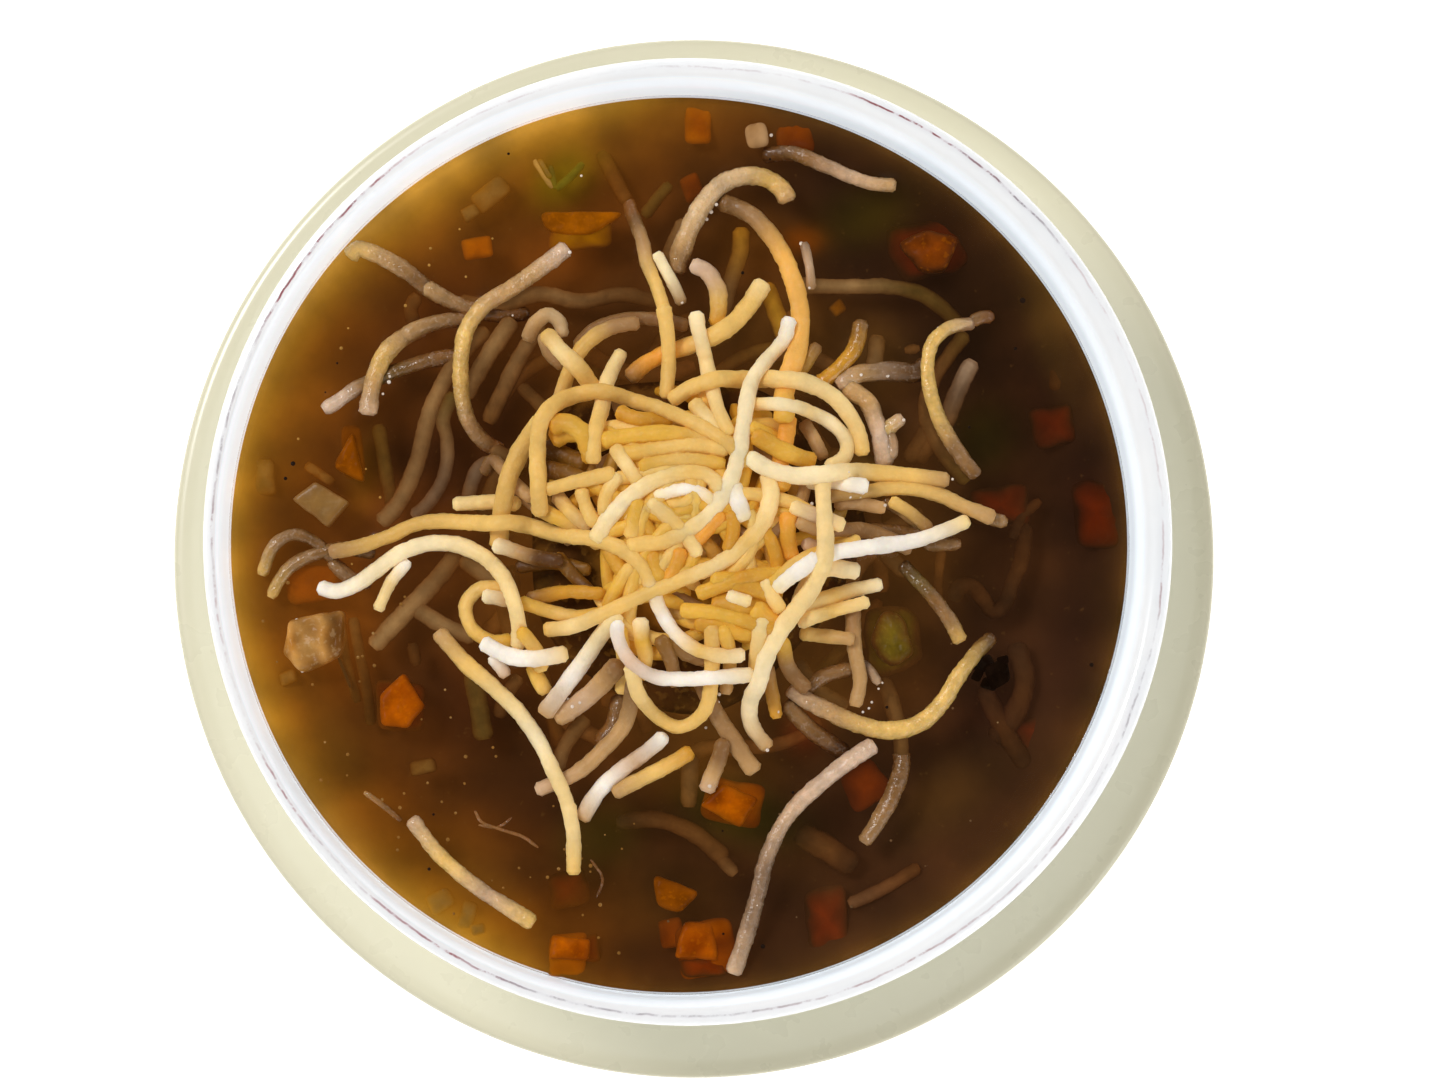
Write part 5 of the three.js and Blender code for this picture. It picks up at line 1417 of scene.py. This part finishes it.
CHUNKS = {
    "carrot_1": ("carrot", 4, 0.7, 4, [(1.6, -35.8), (4.6, -32.8), (9.4, -34.8), (7, -38.8)]),
    "carrot_2": ("carrot", 4.5, 0.8, -5,
                 [(-41.2, -21), (-38, -18), (-35.3, -22.4), (-37.4, -25.6), (-41, -25)]),
    "carrot_3": ("carrot_wet", 4.5, 0.9, 6,
                 [(28.2, 39.8), (31.2, 36), (34.4, 35.8), (36.6, 40.4), (32, 41.6)]),
    "carrot_4": ("carrot_ochre", 3.5, 0.6, 3, [(-20.2, 44), (-18.8, 41), (-13.2, 40.8), (-8.2, 44)]),
    "carrot_5": ("carrot_deep", 3.5, 0.6, 3, [(-45, 14.6), (-47.8, 9.4), (-43.4, 7.4)]),
    "carrot_6": ("carrot_deep", 3.5, 0.6, -3, [(-4.6, -45), (1.6, -47.3), (-0.9, -50.2), (-4.2, -49.2)]),
    "carrot_7": ("carrot", 4, 0.6, -6, [(-0.6, -51.4), (3.4, -51.2), (4, -56.4), (-1.8, -56)]),
    "carrot_8": ("carrot", 4, 0.6, -3, [(-18.2, -53), (-13, -53.6), (-13.2, -56.4), (-18.4, -56.2)]),
    "green_bean_1": ("green_bean", 5, 1, 5,
                 [(25.8, -9.6), (24.2, -14.4), (27, -17.6), (30.4, -15.8), (29, -10.4)]),
    "chicken_1": ("chicken", 5, 1, -6,
                 [(-53.4, -10.8), (-46, -9.6), (-46.2, -15.6), (-51.6, -18.2), (-54.2, -15.6)]),
    "cabbage_1": ("cabbage", 2.6, 0.6, 4, [(-53.2, 5.2), (-50, 7.6), (-45.4, 4.8), (-48.2, 1.4)]),
    "mushroom_1": ("mushroom", 2.6, 0.7, -4, [(39.6, -17.4), (42.6, -15.8), (43.2, -19), (40.6, -20.6)]),
}
CHUNK_COLORS = {
    "carrot": ((196, 94, 0), (132, 54, 0)),
    "carrot_bright": ((232, 128, 0), (176, 84, 0)),
    "carrot_amber": ((190, 122, 0), (150, 92, 0)),
    "carrot_deep": ((144, 72, 0), (112, 54, 0)),
    "carrot_ochre": ((166, 90, 0), (130, 68, 0)),
    "carrot_red": ((170, 66, 6), (120, 42, 2)),
    "carrot_wet": ((160, 74, 6), (98, 42, 4)),
    "carrot_dim": ((136, 48, 6), (106, 36, 4)),
    "green_bean": ((132, 110, 24), (100, 84, 14)),
    "chicken": ((200, 152, 84), (146, 96, 34)),
    "cabbage": ((150, 114, 60), (132, 96, 46)),
    "mushroom": ((16, 9, 4), (26, 15, 9)),
    "onion": ((184, 142, 74), (150, 108, 48)),
    "onion_pale": ((226, 180, 128), (196, 146, 92)),
}
SIDE_SHARES = (0.14, 0.28, 0.42, 0.56, 0.68)
EDGE_TURNS = (90, 68, 46, 24, 0)
SIDE_TILT_SHARE = 0.6
COAT_MIDDLE = 0.16
OUTLINE_POINTS = 72

# How each kind is cut: rounding of its edges and corners, lumps, how far the soup's colour comes in over
# its edge and how strongly, and folds, whose crests and hollows also get painted light and shade
CHUNK_FORMS = {
    "carrot": (0.7, 2, 0.2, 0.7, 0.35, 0.0),
    "carrot_bright": (0.7, 2, 0.2, 0.7, 0.35, 0.0),
    "carrot_amber": (0.7, 5, 0.2, 0.9, 0.6, 0.0),
    "carrot_deep": (0.8, 8, 0.2, 0.8, 0.25, 0.0),
    "carrot_ochre": (0.8, 5, 0.2, 0.8, 0.3, 0.0),
    "carrot_red": (0.9, 3, 0.25, 0.9, 0.75, 0.0),
    "carrot_wet": (0.9, 4, 0.3, 0.9, 0.75, 0.0),
    "carrot_dim": (0.9, 3, 0.2, 0.9, 0.75, 0.0),
    "green_bean": (1.8, 9, 0.9, 2.2, 1.0, 0.0),
    "chicken": (1.1, 3, 0.4, 0.8, 0.35, 0.34),
    "cabbage": (0.5, 1, 0.12, 0.5, 0.4, 0.0),
    "mushroom": (0.9, 5, 0.8, 0.3, 0.05, 0.0),
    "onion": (0.5, 5, 0.4, 0.7, 0.7, 0.1),
    "onion_pale": (0.6, 14, 0.6, 0.4, 0.3, 0.1),
}
SUNK_SOFTENING = 1.6
SUNK_EDGE_GAIN = 1.3
SUNK_ROUNDING = 3
SUNK_THICK = 1.4
# Painted light on folded pieces: how much lighter their left side is, towards the lamp
LIT_SIDE_PAINT = 1.3
CLIMBED = ("chicken", "green_bean", "mushroom")


def rounded_outline(corners, soften, seed):
    """Evenly spaced points round a cut piece, with softened corners and slightly uneven sides."""
    closed = np.vstack([corners, corners[:1]])
    run = run_along(closed)
    line = read_off(np.linspace(0, run[-1], OUTLINE_POINTS, endpoint=False), run, closed)
    for _ in range(soften * 2):
        line = 0.5 * line + 0.25 * (np.roll(line, 1, axis=0) + np.roll(line, -1, axis=0))
    middle = line.mean(axis=0)
    uneven = np.array([1 + 0.07 * noise.noise(Vector((x * 0.5, y * 0.5, seed * 1.9))) for x, y in line])
    return middle, (line - middle) * uneven[:, None]


def chunk_slot(kind):
    """The slot that a kind of cut piece belongs to."""
    if kind.startswith("onion"):
        return "cabbage"
    return "carrot" if kind.startswith("carrot") else kind


def chunk_rings(far, bend, thick):
    """Inset and height of a cut piece's rings, from the middle of its top over its side to its underside."""
    rings = [(far * (1 - share), thick / 2) for share in SIDE_SHARES]
    rings = [pair for pair in rings if pair[0] > 1.15 * bend]
    for degrees in EDGE_TURNS:
        a = math.radians(degrees)
        rings.append((bend * (1 - math.cos(a)), thick / 2 - bend + bend * math.sin(a)))
    return rings + [(inset, -height) for inset, height in rings[::-1]]


def chunk(shape, kind, corners, thick, top, tilt, seed, sunk=False):
    """A cut piece with soft edges and uneven faces, from its corners seen from above."""
    round_by, soften, lump, width, edge, folds = CHUNK_FORMS[kind]
    if sunk:
        width, edge, soften = width * SUNK_SOFTENING, min(1.0, edge * SUNK_EDGE_GAIN), soften + SUNK_ROUNDING
    corners = np.array(corners, float)
    if np.cross(corners[1] - corners[0], corners[2] - corners[1]) < 0:
        corners = corners[::-1]
    middle, spokes = rounded_outline(corners, soften, seed)
    reach = np.linalg.norm(spokes, axis=1)
    far = reach.mean()
    width = min(width, 0.4 * far)
    rings = chunk_rings(far, min(round_by, 0.45 * far, 0.5 * thick), thick)
    points, gap = [], []
    for inset, height in rings:
        share = 1 - inset / far
        points.append(np.column_stack([middle + spokes * share, np.full(OUTLINE_POINTS, height)]))
        gap.append(reach * (1 - share))
    points = np.vstack([*points, (*middle, thick / 2), (*middle, -thick / 2)])
    gap = np.append(np.concatenate(gap), (far, far))
    local = points[:, :2] - middle
    bumps = np.array([
        lump * noise.noise(Vector(p) * 0.45 + Vector((seed * 13.7, 0, 0)))
        + 0.4 * lump * noise.noise(Vector(p) * 1.3)
        for p in points.tolist()
    ])
    fold = np.array([
        math.sin(1.5 * a + 0.5 * b + 3 * noise.noise(Vector((a * 0.3, b * 0.3, seed))))
        for a, b in local.tolist()
    ])
    points[:, 2] += bumps + folds * fold
    points[:, 2] += math.sin(math.radians(tilt)) * (local[:, 1] + SIDE_TILT_SHARE * local[:, 0])
    points[:, 2] += SOUP_TOP + top - thick / 2
    bright, dark = (linear(*c) for c in CHUNK_COLORS[kind])
    blend = np.array([
        0.5 + 0.9 * noise.noise(Vector(p) * 0.35 + Vector((seed, 0, 0))) for p in points.tolist()
    ])
    base = dark + (bright - dark) * np.clip(blend, 0, 1)[:, None]
    # Painted light and shade: fold crests and the left side lighter, fold hollows darker
    painted_lit_side = LIT_SIDE_PAINT * folds * np.append(local[:-2, 0], (0, 0)) / far
    base = base * (1 + folds * fold - painted_lit_side)[:, None]
    coat = edge * np.exp(-gap / width) + COAT_MIDDLE * min(1, 2 * edge)
    coat = np.clip(coat * (1 + 0.5 * (blend - 0.5)), 0, 1)[:, None]
    base = base + coat * (soup_tone(points[:, 0], points[:, 1]) - base)
    shape.add(points, tube_faces(len(rings), OUTLINE_POINTS), murk(points, base), 0.8)
    if kind in CLIMBED and not sunk:
        mark_outline(middle + spokes)


def mark_outline(outline):
    """Where a piece breaks the surface, the soup climbs it a little."""
    row, column, away = cells_round(outline[:, 0], outline[:, 1], SHORE_WIDTH)
    np.minimum.at(shore, (row, column), np.broadcast_to(away, row.shape))


# Sunk pieces: kind, place, length, width, turn in degrees and depth of their top
SUNK_CHUNKS = [
    ("carrot_bright", 1.2, 56, 4.0, 5.4, 0, 0.5), ("carrot", 14.3, 54.4, 5.6, 4.6, 8, 0.9),
    ("carrot", 0.4, 47.6, 2.8, 3.8, 20, 1.5), ("carrot_bright", -28.5, 39.3, 4.0, 3.0, 10, 0.6),
    ("carrot_amber", 20.2, 31.1, 2.2, 2.1, 40, 1.1), ("carrot_red", 49.2, 15.1, 5.8, 5.6, 12, 1.8),
    ("carrot_red", 41.8, 4.6, 7.8, 5.4, 4, 1.8), ("carrot_dim", 55, 3.5, 6.4, 9.8, 4, 0.7),
    ("carrot", -50.6, -6.0, 7.4, 5.4, 5, 1.3), ("carrot", 23.7, -33, 6.0, 6.2, 30, 1.8),
    ("carrot_red", 18.8, -51.2, 6.0, 9.2, 4, 1.2), ("carrot_red", -16, -47, 5.4, 5.0, 10, 2.2),
    ("carrot_red", 47, -26, 6.0, 5.0, 30, 2.9), ("carrot", 2.6, -54.9, 8.6, 7.4, 12, 0.2),
    ("carrot_red", 1.9, -57.2, 6.6, 3.0, 8, 0.1), ("carrot", 5.9, -35.5, 8.8, 6.2, -12, 0.35),
    ("carrot", -2.2, -52.8, 3.4, 4.4, 8, 0.6), ("carrot_red", 32.4, 39.4, 11.0, 7.6, 14, 1.9),
    ("carrot_red", -13.4, -55.2, 3.4, 4.4, 10, 1.0), ("carrot_amber", -14.4, 40.8, 9.4, 3.8, 4, 0.15),
    ("carrot_deep", -45.0, 11.3, 3.0, 7.4, 4, 0.25), ("carrot_bright", -16.0, -55.6, 5.0, 6.0, 0, 0.35),
    ("carrot_red", -38.6, -22.6, 6.6, 7.6, 0, 0.8), ("green_bean", 27.5, -13.6, 7.6, 9.6, 10, 0.8),
    ("mushroom", 39.6, -16.9, 3.0, 2.0, 24, -0.2), ("mushroom", 38.8, -18.4, 1.7, 1.3, 60, -0.15),
    ("mushroom", 40.4, -19.6, 2.4, 1.5, -20, -0.2), ("mushroom", 42.2, -16.4, 1.7, 1.2, 10, -0.3),
    ("onion_pale", 9.2, 54.4, 3.3, 3.7, 12, -0.4), ("onion", -33, -48.5, 3.8, 3.0, 30, 0.3),
    ("onion", -29.4, -50.4, 4.2, 2.2, 74, 0.35), ("onion", -28, -52.3, 2.0, 1.6, 10, 0.3),
    ("onion", -26.4, 46.6, 5.8, 3.0, 38, 0.5), ("onion", -29.4, 44.0, 2.6, 2.0, 30, 0.5),
    ("onion", -57, 8, 3.2, 5.2, 0, 1.0), ("onion", -35.4, -30.6, 3.8, 2.0, 12, 0.6),
    ("onion", -19.4, 50.0, 3.4, 0.8, 118, 0.4), ("onion", -53.6, -18.6, 2.6, 2.0, 20, 1.0),
    ("onion", -49.6, 8.8, 4.6, 1.6, 145, 1.2),
]


def sunk_corners(x, y, long, wide, turn, rng):
    corners = []
    for sx, sy in ((-1, -1), (1, -1), (1, 1), (-1, 1)):
        px = sx * long / 2 * rng.uniform(0.82, 1.08)
        py = sy * wide / 2 * rng.uniform(0.82, 1.08)
        a = math.radians(turn)
        corners.append((x + px * math.cos(a) - py * math.sin(a), y + px * math.sin(a) + py * math.cos(a)))
    return corners


def make_vegetables():
    finish = {
        "carrot": vegetable_material("carrot", linear(214, 118, 0), 0.2, 0.14, 0.2, 0.3, 0.02),
        "green_bean": vegetable_material("green_bean", linear(150, 136, 50), 0.2, 0.1, 0.2, 0.3, 0.05),
        "chicken": vegetable_material("chicken", linear(222, 186, 136), 0.16, 0.2, 0.4, 0.3, 0.14),
        "cabbage": vegetable_material("cabbage", linear(176, 140, 84), 0.12, 0.12, 0.15, 0.3, 0.2),
        "mushroom": vegetable_material("mushroom", linear(20, 12, 8), 0.3, 0.15, 0.5, 0.8, 0.0),
    }
    for number, (name, (kind, thick, proud, tilt, corners)) in enumerate(CHUNKS.items()):
        shape = Shape()
        chunk(shape, kind, corners, thick, proud, tilt, number + 1)
        slot = chunk_slot(kind)
        shape.piece("cut_" + name, finish[slot], slot, [name])
    rng = random.Random(3)
    sunk = {}
    for number, (kind, x, y, long, wide, turn, depth) in enumerate(SUNK_CHUNKS):
        corners = sunk_corners(x, y, long, wide, turn, rng)
        shape = sunk.setdefault(chunk_slot(kind), Shape())
        chunk(shape, kind, corners, SUNK_THICK, -depth, rng.uniform(-6, 6), number + 40, sunk=True)
    for slot, shape in sunk.items():
        shape.piece("sunk_" + slot, sunk_material("sunk_" + slot), slot)


# Bubbles, painted glints and black specks

BEAD_RINGS, BEAD_SIDES = 4, 10


def beads(shape, places, paint, squash, base=SOUP_TOP):
    """Small flattened beads, from their places and radii."""
    for x, y, radius in places:
        points = []
        for ring in range(1, BEAD_RINGS + 1):
            a = math.pi * ring / (BEAD_RINGS + 1)
            for k in range(BEAD_SIDES):
                b = 2 * math.pi * k / BEAD_SIDES
                across = radius * math.sin(a)
                points.append((x + across * math.cos(b), y + across * math.sin(b),
                               base + radius * squash * math.cos(a)))
        points += [(x, y, base + radius * squash), (x, y, base - radius * squash)]
        shape.add(np.array(points), tube_faces(BEAD_RINGS, BEAD_SIDES), paint, 1.0)


def scattered(rng, count, angles, inwards, sizes):
    places = []
    for _ in range(count):
        a = math.radians(rng.uniform(*angles))
        r = SOUP_RADIUS - rng.uniform(*inwards)
        x, y = SOUP_CENTRE[0] + r * math.cos(a), SOUP_CENTRE[1] + r * math.sin(a)
        places.append((x, y, rng.uniform(*sizes)))
    return places


# Small white beads on the wet strands and on one carrot piece: painted glints of wet shine. Place and radius
PAINTED_GLINTS = [
    (-40.1, 21.8, 0.36), (-40.2, 21, 0.4), (-41, 19.4, 0.26), (15.2, 39.6, 0.4), (15.9, 37.6, 0.26),
    (16.2, 36.4, 0.3), (16.4, 35, 0.24), (16.3, 33.6, 0.28), (2.5, 43, 0.34), (3.1, 44, 0.4),
    (3.8, 44.9, 0.34), (22, 21.7, 0.3), (23.2, 21.9, 0.34), (26.8, 21.8, 0.36), (25.7, 16, 0.3),
    (26.4, 13, 0.36), (26.8, 12.2, 0.3), (27.5, 11.6, 0.32), (28.9, 15.8, 0.34), (-52.4, -11, 0.34),
    (-52.8, -12.2, 0.4), (-53, -13.2, 0.34), (-51.6, -17.8, 0.36), (24.6, -22, 0.26), (24.2, -22.8, 0.26),
    (23.4, -23.3, 0.26), (-15.4, -22.6, 0.36), (-14.4, -22.1, 0.3), (-16, -21.6, 0.26), (2.9, -33.2, 0.4),
    (3.8, -33.2, 0.26), (10.6, -28.4, 0.36), (9, -25.4, 0.28), (8.2, -23.6, 0.3), (12, -23.3, 0.34),
    (11.2, -22.6, 0.24), (4.2, -21, 0.34), (4.1, -22, 0.24), (2.4, -25.4, 0.28), (16.5, 4.3, 0.34),
    (17.4, 4.6, 0.24), (21.6, 5.2, 0.3), (23, 5.3, 0.24), (26.3, 4.2, 0.32), (-14.4, 48.9, 0.26),
    (-15.9, 38.4, 0.36), (11.2, 54.4, 0.34), (-0.8, 31.6, 0.3), (25.5, -20.2, 0.24), (26, -19.4, 0.22),
    (11.4, -40.6, 0.3), (11.1, -42, 0.34), (10.5, -43.4, 0.26), (11.9, -39.4, 0.22), (13.6, -36.6, 0.26),
    (14.4, -36.9, 0.24), (16.4, -33.6, 0.22), (24, -40.2, 0.32), (25.3, -37, 0.24), (26.2, -35.6, 0.22),
    (9.2, -49, 0.22), (37.8, -15, 0.2), (-23.6, 30, 0.2), (21.4, 8.4, 0.2), (29.1, 3.7, 0.24),
    (35.4, 7.8, 0.26), (33.6, 28.3, 0.2), (31.3, 38.6, 0.46), (31.9, 38.9, 0.36),
]
PAINTED_GLINT_SIZE = 0.72


def make_bubbles_glints_and_specks():
    rng = random.Random(17)
    # Painted glints: pale beads set on the wet strands
    glint_shape = Shape()
    for x, y, radius in PAINTED_GLINTS:
        height = float(sampled(ground, np.array([x]), np.array([y]))[0])
        base = max(height, SOUP_TOP) - 0.12
        beads(glint_shape, [(x, y, PAINTED_GLINT_SIZE * radius)], linear(228, 208, 188), 0.5, base)
    glint_white = vegetable_material("glint_white", linear(255, 250, 245), share=0.5, bump=0.1)
    glint_shape.piece("painted_glint_beads", glint_white, "soup")
    bubbles = Shape()
    beads(bubbles, scattered(rng, 60, (185, 262), (1.5, 24), (0.12, 0.28)), linear(136, 92, 36), 0.3)
    beads(bubbles, scattered(rng, 14, (110, 185), (2, 20), (0.14, 0.28)), linear(170, 122, 52), 0.3)
    beads(bubbles, scattered(rng, 12, (262, 350), (3, 22), (0.1, 0.2)), linear(104, 74, 44), 0.3)
    finish = vegetable_material("bubbles", linear(206, 168, 110), 0.2, 0.3, 0.1, 0.4, 0.1)
    bubbles.piece("bubbles", finish, "soup")
    specks = Shape()
    places = [
        (-53, 10, 0.34), (-54, 8, 0.26), (45, 32, 0.4), (54, -17, 0.3), (10, -54.5, 0.32), (44, 25.5, 0.24),
    ]
    places += scattered(rng, 16, (0, 360), (2, 26), (0.12, 0.26))
    beads(specks, places, linear(34, 22, 14), 0.35)
    finish = vegetable_material("specks", linear(60, 44, 30), mottle=0.3, gloss=0.03)
    specks.piece("specks", finish, "mushroom")


# Floor, lights and camera

def make_floor():
    mesh = bpy.data.meshes.new("floor")
    size, drop = 4.0, -0.1 * MM
    corners = [(x * size, y * size, drop) for x, y in ((-1, -1), (1, -1), (1, 1), (-1, 1))]
    mesh.from_pydata(corners, [], [(0, 1, 2, 3)])
    n = Nodes("floor")
    pale = n.mix(n.ramp(n.noise(3, 2.0), 0.3, 0.7), (0.9, 0.9, 0.9), (0.88, 0.88, 0.88))
    n.link(pale, n.shader.inputs["Base Color"])
    n.set(Roughness=0.9, Specular_IOR_Level=0.0, Emission_Color=(1.0, 1.0, 1.0, 1.0), Emission_Strength=0.6)
    mesh.materials.append(n.material)
    floor = bpy.data.objects.new("floor", mesh)
    bpy.context.scene.collection.objects.link(floor)


def area_light(name, place, size, power, target=(0, 0, 0.04)):
    data = bpy.data.lights.new(name, "AREA")
    data.shape = "DISK"
    data.size = size
    data.energy = power
    light = bpy.data.objects.new(name, data)
    light.location = place
    light.rotation_euler = (Vector(target) - Vector(place)).to_track_quat("-Z", "Y").to_euler()
    bpy.context.scene.collection.objects.link(light)


def make_lights():
    area_light("key", (-0.54, 0.365, 1.0), 0.34, 6.6)
    area_light("fill", (0.85, -0.75, 0.42), 0.7, 3.2)
    world = bpy.data.worlds.new("studio")
    world.use_nodes = True
    tree = world.node_tree
    background = tree.nodes["Background"]
    split = tree.nodes.new("ShaderNodeSeparateXYZ")
    tree.links.new(tree.nodes.new("ShaderNodeTexCoord").outputs["Generated"], split.inputs[0])
    shade = tree.nodes.new("ShaderNodeMapRange")
    shade.interpolation_type = "SMOOTHSTEP"
    for key, value in (("From Min", 0.8), ("From Max", 0.97), ("To Min", 0.62), ("To Max", 0.06)):
        shade.inputs[key].default_value = value
    tree.links.new(split.outputs[2], shade.inputs["Value"])
    tree.links.new(shade.outputs["Result"], background.inputs["Strength"])
    background.inputs["Color"].default_value = (1.0, 1.0, 1.0, 1.0)
    bpy.context.scene.world = world
    bpy.context.scene.view_settings.view_transform = "Standard"


def make_camera():
    data = bpy.data.cameras.new("camera")
    data.lens = LENS
    data.sensor_width = 36
    data.clip_start = 0.01
    camera = bpy.data.objects.new("camera", data)
    tilt = math.radians(VIEW_TILT)
    away = Vector((0, -math.sin(tilt), math.cos(tilt)))
    target = Vector((VIEW_CENTRE[0], VIEW_CENTRE[1], SOUP_TOP)) * MM
    across = Vector((1, 0, 0))
    up = away.cross(across)
    turn = Matrix((across, up, away)).transposed().to_4x4()
    camera.matrix_world = Matrix.Translation(target + away * VIEW_DISTANCE * MM) @ turn
    bpy.context.scene.collection.objects.link(camera)
    bpy.context.scene.camera = camera


make_camera()
make_lights()
make_floor()
make_saucer()
make_bowl()
make_core()
make_noodles()
make_vegetables()
make_soup_depth()
make_soup_top()
make_bubbles_glints_and_specks()
